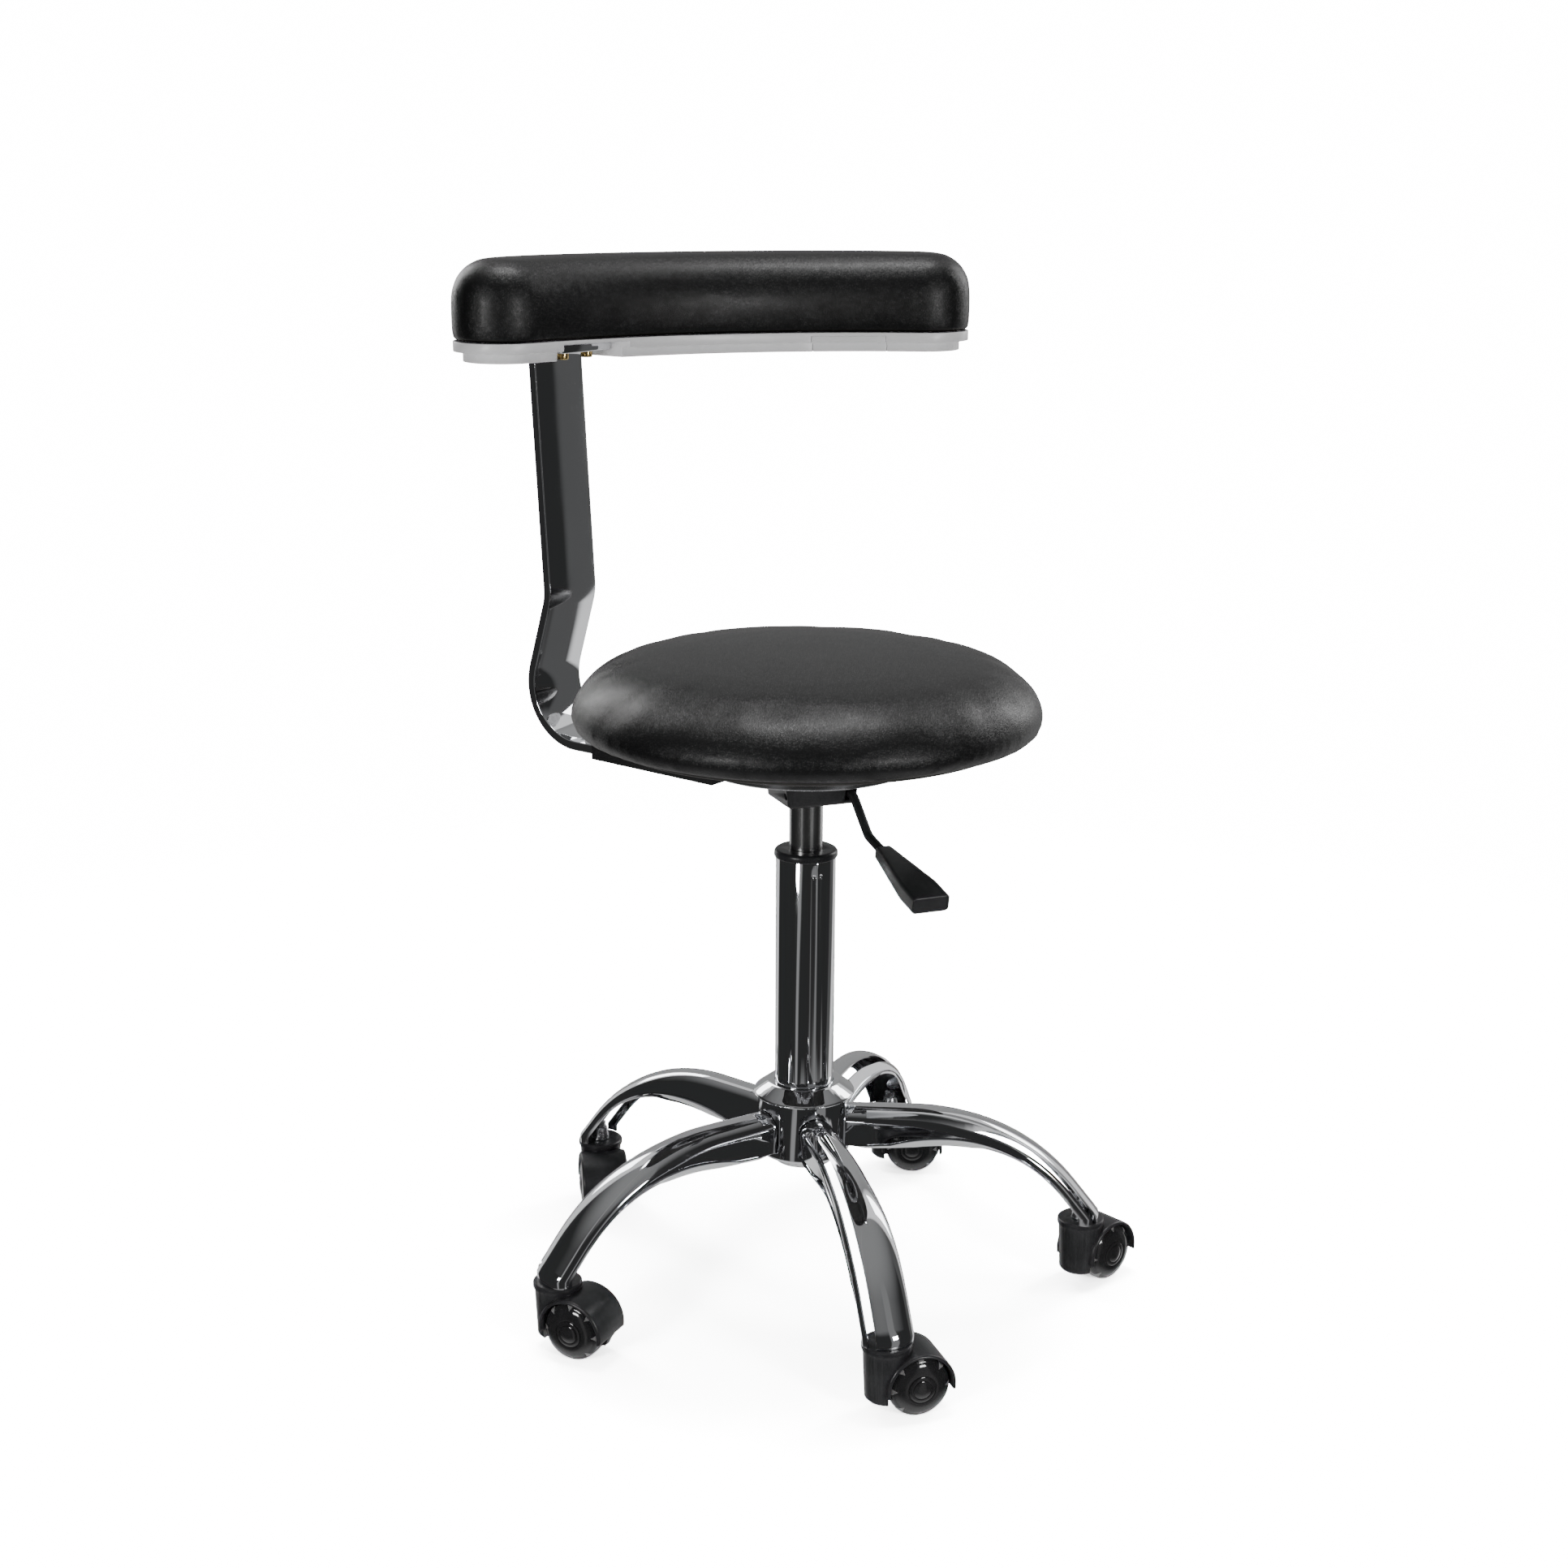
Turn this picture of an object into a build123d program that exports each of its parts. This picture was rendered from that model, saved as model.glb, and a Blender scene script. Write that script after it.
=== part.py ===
from build123d import *
import math
import os

# Rolling stylist stool: five-legged chromed base on twin-wheel casters, gas-lift
# column, round seat with a height lever, and a curved backrest on a flat steel bar
# that swings round the seat. Millimetres, +Z up, origin on the floor under the
# column axis, +Y towards the middle of the backrest, the sitter faces -Y.

# ---- clearances -----------------------------------------------------------------
RUN_FIT = 0.05        # radial clearance of a running fit
GLIDE_GAP = 0.2       # clearance between faces that slide past each other
SOFT_GAP = 0.3        # clearance round a soft or loosely fitted cover

# ---- casters --------------------------------------------------------------------
WHEEL_DIAMETER = 50.0
WHEEL_WIDTH = 17.0
TREAD_THICKNESS = 3.0
TOOTH_COUNT = 8
TOOTH_DEPTH = 5.5
TOOTH_HALF_WIDTH = 4.0
HUB_CAP_RADIUS = 10.0
HUB_CAP_RISE = 1.6
AXLE_DIAMETER = 6.0
CASTER_TRAIL = 22.0          # stem axis to wheel axis
CASTER_WEB = 7.0             # hood web between the two wheels
WHEEL_SIDE_GAP = 0.5
FENDER_GAP = 1.2             # hood to tread
FENDER_WALL = 2.6
HOOD_DISC_DIAMETER = 40.0
HOOD_BARREL_BOTTOM = 12.0    # floor to the lower edge of the hood's barrel
HOOD_HEIGHT = 59.5
STEM_DIAMETER = 8.0
STEM_DEPTH = 14.0            # how far the stem reaches into the hood
# How each caster has trailed to at rest, one yaw for each leg.
CASTER_YAWS = (-25.0, -102.0, -48.0, -3.0, 20.0)

# ---- base -----------------------------------------------------------------------
LEG_COUNT = 5
LEG_PHASE = 47.3             # azimuth of the first leg
STEM_CIRCLE = 240.0          # column axis to caster stem
LEG_WALL = 2.0
LEG_CREST_RISE = 100.0       # caster top to the crest of the leg's straight part
LEG_SLOPE = 52.0             # how steeply the tip runs down
LEG_BEND_RADIUS = 178.0
LEG_TIP_COVER = 15.0         # how far the tip reaches past the stem axis
LEG_SKIRT = 6.0              # upright rim at the tip
LEG_SET = 3.0                # how deep a leg's root sits in the hub
LEG_STATIONS = 9             # flats that the bend is drawn from
LEG_ROOT_WIDTH = 29.0
LEG_ROOT_DEPTH = 34.0
LEG_TIP_WIDTH = 42.0
LEG_TIP_DEPTH = 14.0
SOCKET_GAP = 0.5             # hood to socket
SOCKET_BASE_RADIUS = 8.5
SOCKET_TOP_RADIUS = 6.0
SOCKET_CONE = 11.0
NUT_ACROSS = 9.0
NUT_HEIGHT = 5.0
HUB_DIAMETER = 78.0
HUB_BELOW_ROOT = 13.0        # hub below the legs' lower edges
HUB_ABOVE_CREST = 10.5       # hub above the legs' crests
HUB_FOOT_DIAMETER = 56.0
HUB_FOOT_HEIGHT = 5.0
COLLAR_DIAMETER = 86.0
COLLAR_TOP_DIAMETER = 60.0
COLLAR_LIP = 3.0
COLLAR_CONE = 12.0

# ---- column and gas lift ----------------------------------------------------------
TUBE_DIAMETER = 50.0
TUBE_WALL = 2.0
TUBE_ABOVE_COLLAR = 198.5
TUBE_FLOOR = 4.0
TUBE_BELOW_HUB = 3.0
DIMPLE_DEPTH = 0.9
DIMPLE_RADIUS = 3.2
DIMPLE_DROP = 12.0
BUSHING_LENGTH = 80.0
CAP_RING_DIAMETER = 53.0
CAP_RING_HEIGHT = 6.5
CYLINDER_DIAMETER = 28.0
CYLINDER_WALL = 2.0
CYLINDER_EXPOSED = 42.0      # cap ring to lift mechanism with the seat as drawn
CYLINDER_HIDDEN = 212.0      # length below the cap ring
CYLINDER_END = 10.0          # rod guide that closes the lower end
TAPER_LENGTH = 24.0
TAPER_TOP_DIAMETER = 26.0
ROD_DIAMETER = 10.0
ROD_TAIL_DIAMETER = 8.0
ROD_TOP_BELOW_CAP = 52.0
PISTON_LENGTH = 12.0
BEARING_DIAMETER = 24.0
BEARING_HEIGHT = 4.0
CLIP_DIAMETER = 20.0
CLIP_THICKNESS = 1.5
VALVE_DIAMETER = 6.0
VALVE_RISE = 2.95
VALVE_LENGTH = 13.0
VALVE_BORE = 14.0

# ---- lift mechanism and seat ---------------------------------------------------------
MECH_HEIGHT = 31.0
MECH_LEFT = 30.0
MECH_RIGHT = 38.0            # the lever side is wider
MECH_FRONT = 31.0
MECH_BACK = 28.0
MECH_WALL = 2.5
MECH_DRAFT = 8.0
MECH_CORNER = 8.0
SWIVEL_BOSS_DIAMETER = 120.0
SWIVEL_FLANGE_DIAMETER = 136.0
SWIVEL_FLANGE = 5.0
DISC_DIAMETER = 180.0
DISC_THICKNESS = 10.0
SEAT_BOLT_CIRCLE = 50.0
BOLT_DIAMETER = 6.0
BOLT_HEAD_ACROSS = 10.0
BOLT_HEAD_HEIGHT = 4.0
BOARD_DIAMETER = 344.0
BOARD_THICKNESS = 21.6
BOARD_CHAMFER = 9.0
SEAT_DIAMETER = 386.0
SEAT_HEIGHT = 60.0
SEAT_CROWN = 9.0

# ---- lever ----------------------------------------------------------------------------
LEVER_X = 28.0
LEVER_ROD_DIAMETER = 7.5
LEVER_AXLE_DIAMETER = 6.0
LEVER_AXLE_BACK = 21.0       # column axis to the lever's axle
LEVER_AXLE_RISE = 10.0       # axle above the mechanism's underside
TONGUE_WIDTH = 8.0
TONGUE_THICKNESS = 4.0
TONGUE_REACH = 5.0
PADDLE_LENGTH = 92.0
PADDLE_WIDTH = 31.0
PADDLE_THICKNESS = 14.0
PADDLE_ROOT_WIDTH = 14.0
PADDLE_ROOT_THICKNESS = 11.0
PADDLE_GRIP = 15.0           # rod length held in the paddle

# ---- backrest ---------------------------------------------------------------------------
BAR_WIDTH = 60.0
BAR_THICKNESS = 8.0
BAR_DROP = 16.0              # swivel disc underside to the bar's middle
BAR_START = 98.0
BAR_LOW_REACH = 296.0
BAR_KNEE_REACH = 257.0
BAR_KNEE_RISE = 127.0        # bar run to knee
BAR_TOP_REACH = 270.0
BAR_TAB_START = 233.0
BAR_LOW_RADIUS = 50.0
BAR_KNEE_RADIUS = 45.0
BAR_TOP_RADIUS = 10.0
BRACKET_START = 72.0
BRACKET_LENGTH = 133.0
BRACKET_SIDE = 5.0
BRACKET_HEIGHT = 36.0
BRACKET_FLOOR = 4.0
BRACKET_RIB = 3.0
BAR_SCREW_SPACING = 22.0
BACK_RISE = 315.0            # swivel disc underside to the tray's underside
PAD_RADIUS = 441.0           # middle line of the pad, in plan
PAD_HALF_ANGLE = 26.0
PAD_THICKNESS = 86.0
PAD_HEIGHT = 69.0
PAD_REACH = 248.5            # column axis to the middle of the pad
PAD_TOP_ROUND = 24.0
PAD_BOTTOM_ROUND = 12.0
POCKET_FROM_END = 60.0       # end centre to pocket, along the middle line
TRAY_STEP = 8.5
TRAY_WALL = 3.0
TRAY_UPPER_INSET = 2.0
TRAY_LOWER_INSET = 10.0
POCKET_SIDE_GAP = 2.0
TRAY_SCREW_SPACING = 30.0
TRAY_SCREW_BITE = 12.0
TRAY_SCREW_HEAD = 6.0

# ---- heights that follow ------------------------------------------------------------------
AXLE_Z = WHEEL_DIAMETER / 2
LEG_TIP_Z = HOOD_HEIGHT + SOCKET_GAP
CREST_Z = LEG_TIP_Z + LEG_CREST_RISE
HUB_BOTTOM_Z = CREST_Z - LEG_ROOT_DEPTH - HUB_BELOW_ROOT
HUB_TOP_Z = CREST_Z + HUB_ABOVE_CREST
COLLAR_TOP_Z = HUB_TOP_Z + COLLAR_CONE
TUBE_BOTTOM_Z = HUB_BOTTOM_Z - TUBE_BELOW_HUB
TUBE_TOP_Z = COLLAR_TOP_Z + TUBE_ABOVE_COLLAR
FLOOR_Z = TUBE_BOTTOM_Z + TUBE_FLOOR
CAP_TOP_Z = TUBE_TOP_Z + CAP_RING_HEIGHT
MECH_Z = CAP_TOP_Z + CYLINDER_EXPOSED
CYLINDER_TOP_Z = MECH_Z + TAPER_LENGTH
AXLE_LEVER_Z = MECH_Z + LEVER_AXLE_RISE
TONGUE_Z = CYLINDER_TOP_Z + VALVE_RISE + RUN_FIT
DISC_Z = MECH_Z + MECH_HEIGHT
BOARD_Z = DISC_Z + DISC_THICKNESS + GLIDE_GAP
SEAT_Z = BOARD_Z + BOARD_THICKNESS
BAR_Z = DISC_Z - BAR_DROP
TRAY_Z = DISC_Z + BACK_RISE
TRAY_TOP_Z = TRAY_Z + 2 * TRAY_STEP
POCKET_TOP_Z = TRAY_TOP_Z - TRAY_WALL
TAB_Z = POCKET_TOP_Z - BAR_THICKNESS / 2

PAD_CENTRE_Y = PAD_REACH - PAD_RADIUS
POCKET_ANGLE = PAD_HALF_ANGLE - math.degrees(POCKET_FROM_END / PAD_RADIUS)
POCKET_X = PAD_RADIUS * math.sin(math.radians(POCKET_ANGLE))
POCKET_Y = PAD_CENTRE_Y + PAD_RADIUS * math.cos(math.radians(POCKET_ANGLE))
BAR_AZIMUTH = 90 + math.degrees(math.atan2(POCKET_X, POCKET_Y))
BIG = 1000.0


def save(name, shape):
    """Write one named piece; the label is what other programs show."""
    shape.label = name
    export_step(shape, os.path.join("parts", name + ".step"))


def rod(radius, bottom, top):
    """Upright cylinder on the Z axis between two heights."""
    return Pos(0, 0, bottom) * Cylinder(
        radius, top - bottom, align=(Align.CENTER, Align.CENTER, Align.MIN)
    )


def revolved(points):
    """Solid of revolution about Z from a closed outline of (radius, height) points."""
    outline = Plane.XZ * make_face(Polyline(*points, close=True))
    return revolve(outline, Axis.Z)


def slab(outline, bottom, top):
    """A plan outline raised between two heights."""
    return Pos(0, 0, bottom) * extrude(outline, top - bottom)


def about_legs():
    """Places of the legs: the frame's +X runs out along each leg."""
    return [Rot(0, 0, LEG_PHASE + k * 360 / LEG_COUNT) for k in range(LEG_COUNT)]


def caster_places():
    """Places of the casters: origin under the stem, +X the way the wheels trail."""
    return [
        place * Pos(STEM_CIRCLE, 0, 0) * Rot(0, 0, yaw - LEG_PHASE - k * 360 / LEG_COUNT)
        for k, (place, yaw) in enumerate(zip(about_legs(), CASTER_YAWS))
    ]


# ---- base ---------------------------------------------------------------------------
def channel_outline(width, depth, shrink, extra):
    """Arched outline with its crest at the origin, shrunk inwards and run down further."""
    crown = min(width / 2, 0.72 * depth)
    half = width / 2 - shrink
    foot = 0.47 * width - shrink
    low = -depth - extra
    arch = EllipticalCenterArc((0, -crown), half, crown - shrink, 0, arc_size=180)
    sides = Polyline((-half, -crown), (-foot, low), (foot, low), (half, -crown))
    return make_face([arch, *sides.edges()])


def leg_stations():
    """Crest points of a leg as (radius, height, slope, share of the way to the tip)."""
    slope = math.radians(LEG_SLOPE)
    tip_r = STEM_CIRCLE + LEG_TIP_COVER
    tip_z = LEG_TIP_Z + LEG_SKIRT
    drop = CREST_Z - tip_z
    bend_drop = LEG_BEND_RADIUS * (1 - math.cos(slope))
    bend_run = LEG_BEND_RADIUS * math.sin(slope)
    straight = (drop - bend_drop) / math.tan(slope)
    bend_start = tip_r - straight - bend_run
    root_r = HUB_DIAMETER / 2 - LEG_ROOT_WIDTH / 3
    stations = [(root_r, CREST_Z, 0.0, 0.0), ((root_r + bend_start) / 2, CREST_Z, 0.0, 0.08)]
    for step in range(LEG_STATIONS + 1):
        share = step / LEG_STATIONS
        turn = slope * share
        radius = bend_start + LEG_BEND_RADIUS * math.sin(turn)
        height = CREST_Z - LEG_BEND_RADIUS * (1 - math.cos(turn))
        stations.append((radius, height, turn, 0.16 + 0.68 * share))
    past = 26.0
    end_r = tip_r + past * math.cos(slope)
    end_z = tip_z - past * math.sin(slope)
    stations.append((end_r, end_z, slope, 1.0))
    return stations


def leg_block(shrink, extra):
    """Solid along the leg's crest: narrow and deep at the root, broad and shallow at the tip."""
    sections = []
    for radius, height, turn, share in leg_stations():
        broad = min(1.0, share / 0.7)
        ease = broad * broad * (3 - 2 * broad)
        width = LEG_ROOT_WIDTH + (LEG_TIP_WIDTH - LEG_ROOT_WIDTH) * ease
        depth = LEG_ROOT_DEPTH + (LEG_TIP_DEPTH - LEG_ROOT_DEPTH) * ease
        heading = (math.cos(turn), 0, -math.sin(turn))
        plane = Plane((radius, 0, height), x_dir=(0, 1, 0), z_dir=heading)
        sections.append(plane * channel_outline(width, depth, shrink, extra))
    return loft(sections, ruled=True)


def leg():
    """Pressed channel, open below, with an upright rim round its tip."""
    shell = leg_block(0, 0) - leg_block(LEG_WALL, 3 * LEG_WALL)
    rim_z = LEG_TIP_Z + LEG_SKIRT
    shell -= Pos(0, 0, rim_z - BIG / 2) * Box(BIG, BIG, BIG)
    shell -= rod(HUB_DIAMETER / 2 - LEG_SET, 0, BIG)
    rim_face = shell.faces().filter_by(Axis.Z).sort_by(Axis.Z)[0]
    return shell + extrude(rim_face, LEG_SKIRT, dir=(0, 0, -1))


def hub():
    """Welded hub: sleeve round the column with a shallow seat for each leg's root."""
    body = rod(HUB_DIAMETER / 2, HUB_BOTTOM_Z + HUB_FOOT_HEIGHT, HUB_TOP_Z)
    body = fillet(body.edges().group_by(Axis.Z)[0], 4)
    body += rod(HUB_FOOT_DIAMETER / 2, HUB_BOTTOM_Z, HUB_BOTTOM_Z + HUB_FOOT_HEIGHT + 1)
    body -= rod(TUBE_DIAMETER / 2, 0, BIG)
    gap = 0.6
    half = LEG_ROOT_WIDTH / 2 + gap
    crown = min(LEG_ROOT_WIDTH / 2, 0.72 * LEG_ROOT_DEPTH) + gap
    depth = LEG_ROOT_DEPTH + 2 * gap
    seat = make_face(
        [
            EllipticalCenterArc((0, -crown), half, crown, 0, arc_size=180),
            Polyline((-half, -crown), (-half, -depth), (half, -depth), (half, -crown)),
        ]
    )
    seat_plane = Plane((0, 0, CREST_Z + gap), x_dir=(0, 1, 0), z_dir=(1, 0, 0))
    prism = extrude(seat_plane * seat, HUB_DIAMETER)
    prism -= rod(HUB_DIAMETER / 2 - LEG_SET, 0, BIG)
    for place in about_legs():
        body -= place * prism
    return body


def hub_collar():
    """Conical chromed cover that sits on the hub round the column."""
    lip = COLLAR_DIAMETER / 2
    top = COLLAR_TOP_DIAMETER / 2
    bore = TUBE_DIAMETER / 2
    base = HUB_TOP_Z
    return revolved(
        [
            (bore, base),
            (lip - 1, base),
            (lip, base + 1),
            (lip, base + COLLAR_LIP - 1),
            (lip - 1, base + COLLAR_LIP),
            (top + 1.5, COLLAR_TOP_Z - 1),
            (top, COLLAR_TOP_Z),
            (bore, COLLAR_TOP_Z),
        ]
    )


def caster_socket(leg_shape):
    """Cone under the tip that takes the caster stem, with its hexagon against the leg."""
    cone = Pos(STEM_CIRCLE, 0, LEG_TIP_Z + SOCKET_CONE / 2) * Cone(
        SOCKET_BASE_RADIUS, SOCKET_TOP_RADIUS, SOCKET_CONE
    )
    nut_z = LEG_TIP_Z + SOCKET_CONE
    nut_outline = RegularPolygon(NUT_ACROSS / 2, 6, major_radius=False)
    nut = Pos(STEM_CIRCLE, 0, nut_z) * extrude(nut_outline, NUT_HEIGHT)
    socket = (cone + nut) - leg_shape
    socket -= Pos(STEM_CIRCLE, 0, 0) * rod(STEM_DIAMETER / 2, 0, nut_z)
    return socket


def caster_stem():
    """Stem that the hood turns on, headed in the socket's cone."""
    return rod(STEM_DIAMETER / 2, HOOD_HEIGHT - STEM_DEPTH, LEG_TIP_Z + SOCKET_CONE)


# ---- casters, modelled with the stem on Z and the wheels trailing towards +X -------------
WHEEL_RADIUS = WHEEL_DIAMETER / 2
CORE_RADIUS = WHEEL_RADIUS - TREAD_THICKNESS
WELL_RADIUS = WHEEL_RADIUS + FENDER_GAP
WHEEL_INNER_Y = CASTER_WEB / 2 + WHEEL_SIDE_GAP
WHEEL_OUTER_Y = WHEEL_INNER_Y + WHEEL_WIDTH


def across(radius, low, high):
    """Cylinder on the wheel axis between two places across the caster."""
    middle = (low + high) / 2
    return Pos(CASTER_TRAIL, middle, AXLE_Z) * Rot(90, 0, 0) * Cylinder(radius, high - low)


def caster_hood():
    """Moulded hood: barrel under the stem, fender over both wheels, web between them."""
    disc = HOOD_DISC_DIAMETER / 2
    barrel = revolved(
        [
            (0, HOOD_BARREL_BOTTOM),
            (disc - 5, HOOD_BARREL_BOTTOM),
            (disc - 3, HOOD_BARREL_BOTTOM + 2),
            (disc - 1.2, HOOD_HEIGHT - 5),
            (disc, HOOD_HEIGHT - 4.5),
            (disc, HOOD_HEIGHT - 1),
            (disc - 1, HOOD_HEIGHT),
            (0, HOOD_HEIGHT),
        ]
    )
    outer = WELL_RADIUS + FENDER_WALL
    fender = across(outer, -WHEEL_OUTER_Y, WHEEL_OUTER_Y)
    fender = fillet(fender.edges().filter_by(GeomType.CIRCLE), 2.2)
    fender &= Pos(CASTER_TRAIL, 0, AXLE_Z + BIG / 2 - 4) * Box(BIG, BIG, BIG)
    hood = barrel + fender
    well_top = AXLE_Z + WELL_RADIUS
    for side in (-1, 1):
        low, high = sorted((side * CASTER_WEB / 2, side * BIG / 4))
        hood -= across(WELL_RADIUS, low, high)
        below = Pos(CASTER_TRAIL, (low + high) / 2, AXLE_Z - WELL_RADIUS)
        hood -= below * Box(2 * WELL_RADIUS, high - low, 2 * WELL_RADIUS)
    web = across(WELL_RADIUS + 1, -CASTER_WEB / 2, CASTER_WEB / 2)
    web &= Pos(CASTER_TRAIL, 0, HOOD_BARREL_BOTTOM + BIG / 2) * Box(BIG, BIG, BIG)
    hood += web
    hood -= across(AXLE_DIAMETER / 2, -BIG / 4, BIG / 4)
    hood -= rod(STEM_DIAMETER / 2 + RUN_FIT, HOOD_HEIGHT - STEM_DEPTH - GLIDE_GAP, well_top + BIG)
    return hood


def caster_axle():
    """Steel pin pressed through the hood's web, with a wheel on each end."""
    return across(AXLE_DIAMETER / 2, -WHEEL_OUTER_Y + 2, WHEEL_OUTER_Y - 2)


def tooth_ring(side, grow):
    """Triangular teeth round the rim of a wheel, pointing at its axle."""
    low, high = sorted((side * WHEEL_INNER_Y, side * WHEEL_OUTER_Y))
    half = TOOTH_HALF_WIDTH + grow
    tip = CORE_RADIUS - TOOTH_DEPTH
    tooth = make_face(Polyline((tip, 0), (CORE_RADIUS + 1, half), (CORE_RADIUS + 1, -half), close=True))
    teeth = []
    for k in range(TOOTH_COUNT):
        turned = Rot(0, 0, k * 360 / TOOTH_COUNT) * tooth
        face = Pos(CASTER_TRAIL, high, AXLE_Z) * Rot(90, 0, 0) * turned
        teeth.append(extrude(face, high - low))
    return teeth


def wheel_core(side):
    """Glossy wheel body with a raised double-ring hub cap on its outer face."""
    low, high = sorted((side * WHEEL_INNER_Y, side * WHEEL_OUTER_Y))
    core = across(CORE_RADIUS, low, high)
    outer = side * WHEEL_OUTER_Y
    for radius, rise in ((HUB_CAP_RADIUS, HUB_CAP_RISE / 2), (HUB_CAP_RADIUS * 0.62, HUB_CAP_RISE)):
        low_cap, high_cap = sorted((outer - side, outer + side * rise))
        core += across(radius, low_cap, high_cap)
    bore_low, bore_high = sorted((side * (WHEEL_INNER_Y - 1), outer - side * (2 - GLIDE_GAP)))
    core -= across(AXLE_DIAMETER / 2 + RUN_FIT, bore_low, bore_high)
    for tooth in tooth_ring(side, 0):
        core -= tooth
    return core


def wheel_tread(side):
    """Soft clear tread whose teeth key into the core."""
    low, high = sorted((side * WHEEL_INNER_Y, side * WHEEL_OUTER_Y))
    solid = across(WHEEL_RADIUS, low, high)
    solid = chamfer(solid.edges().filter_by(GeomType.CIRCLE), 1.2)
    band = solid - across(CORE_RADIUS, low - 1, high + 1)
    for tooth in tooth_ring(side, 0):
        band += tooth & across(CORE_RADIUS, low, high)
    return band


# ---- column and gas lift ------------------------------------------------------------------
def dimples(radius):
    """Small balls that mark the crimps below the top of the tube."""
    balls = []
    for azimuth in (150.0, 270.0, 30.0):
        for turn in (-7.0, 7.0):
            angle = math.radians(azimuth + turn)
            reach = radius + DIMPLE_RADIUS - DIMPLE_DEPTH
            x, y = reach * math.cos(angle), reach * math.sin(angle)
            balls.append(Pos(x, y, TUBE_TOP_Z - DIMPLE_DROP) * Sphere(DIMPLE_RADIUS))
    return balls


def column_tube():
    """Outer column with a floor that carries the gas lift's rod."""
    tube = rod(TUBE_DIAMETER / 2, TUBE_BOTTOM_Z, TUBE_TOP_Z)
    tube -= rod(TUBE_DIAMETER / 2 - TUBE_WALL, FLOOR_Z, BIG)
    tube -= rod(ROD_TAIL_DIAMETER / 2 + RUN_FIT, 0, BIG)
    for ball in dimples(TUBE_DIAMETER / 2):
        tube -= ball
    return tube


def guide_bushing():
    """Moulded guide in the top of the tube, with a rounded ring on the rim."""
    sleeve = rod(TUBE_DIAMETER / 2 - TUBE_WALL, TUBE_TOP_Z - BUSHING_LENGTH, TUBE_TOP_Z)
    ring = rod(CAP_RING_DIAMETER / 2, TUBE_TOP_Z, CAP_TOP_Z)
    ring = fillet(ring.edges().group_by(Axis.Z)[-1], 3)
    ring = fillet(ring.edges().group_by(Axis.Z)[0], 1)
    bushing = sleeve + ring
    return bushing - rod(CYLINDER_DIAMETER / 2 + RUN_FIT, 0, BIG)


def thrust_bearing():
    """Ball thrust bearing on the tube's floor, as one closed ring."""
    ring = rod(BEARING_DIAMETER / 2, FLOOR_Z, FLOOR_Z + BEARING_HEIGHT)
    ring = chamfer(ring.edges().filter_by(GeomType.CIRCLE), 0.6)
    return ring - rod(ROD_TAIL_DIAMETER / 2 + RUN_FIT, 0, BIG)


def piston_rod():
    """Rod of the gas lift: tail through the floor, shaft, and piston in the cylinder."""
    shoulder = FLOOR_Z + BEARING_HEIGHT + RUN_FIT
    top = CAP_TOP_Z - ROD_TOP_BELOW_CAP
    tail = rod(ROD_TAIL_DIAMETER / 2, TUBE_BOTTOM_Z - CLIP_THICKNESS - 1.5, shoulder)
    shaft = rod(ROD_DIAMETER / 2, shoulder, top)
    piston = rod(CYLINDER_DIAMETER / 2 - CYLINDER_WALL - RUN_FIT, top - PISTON_LENGTH, top)
    return tail + shaft + chamfer(piston.edges().filter_by(GeomType.CIRCLE), 0.8)


def column_clip():
    """Spring clip that holds the rod's tail under the tube, with its open side."""
    top = TUBE_BOTTOM_Z - RUN_FIT
    clip = rod(CLIP_DIAMETER / 2, top - CLIP_THICKNESS, top)
    clip -= rod(ROD_TAIL_DIAMETER / 2, 0, BIG)
    slot = Pos(0, -CLIP_DIAMETER / 2, top) * Box(ROD_TAIL_DIAMETER * 0.6, CLIP_DIAMETER, BIG / 2)
    return clip - slot


def gas_cylinder():
    """Pressure cylinder: guided at the column, tapered into the mechanism."""
    radius = CYLINDER_DIAMETER / 2
    bottom = CAP_TOP_Z - CYLINDER_HIDDEN
    body = revolved(
        [
            (0, bottom),
            (radius - 1.5, bottom),
            (radius, bottom + 1.5),
            (radius, MECH_Z),
            (TAPER_TOP_DIAMETER / 2, CYLINDER_TOP_Z),
            (0, CYLINDER_TOP_Z),
        ]
    )
    body -= rod(radius - CYLINDER_WALL, bottom + CYLINDER_END, CYLINDER_TOP_Z - VALVE_BORE)
    body -= rod(ROD_DIAMETER / 2 + RUN_FIT, bottom - 1, bottom + CYLINDER_END + 1)
    body -= rod(VALVE_DIAMETER / 2 + RUN_FIT, CYLINDER_TOP_Z - VALVE_BORE - 1, CYLINDER_TOP_Z + 1)
    return body


def valve_pin():
    """Release pin of the gas lift, standing just under the lever's tongue."""
    top = CYLINDER_TOP_Z + VALVE_RISE
    pin = rod(VALVE_DIAMETER / 2, top - VALVE_LENGTH, top)
    return chamfer(pin.edges().group_by(Axis.Z)[-1], 0.5)


# ---- mechanism, lever and seat ---------------------------------------------------------------
def mech_shell(inset, bottom):
    """Drafted box of the mechanism, shrunk by an inset, from a height up to its top."""
    width = MECH_LEFT + MECH_RIGHT - 2 * inset
    length = MECH_FRONT + MECH_BACK - 2 * inset
    outline = RectangleRounded(width, length, MECH_CORNER - inset)
    middle = Pos((MECH_RIGHT - MECH_LEFT) / 2, (MECH_BACK - MECH_FRONT) / 2, DISC_Z)
    return middle * extrude(outline, bottom - DISC_Z, taper=MECH_DRAFT)


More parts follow.
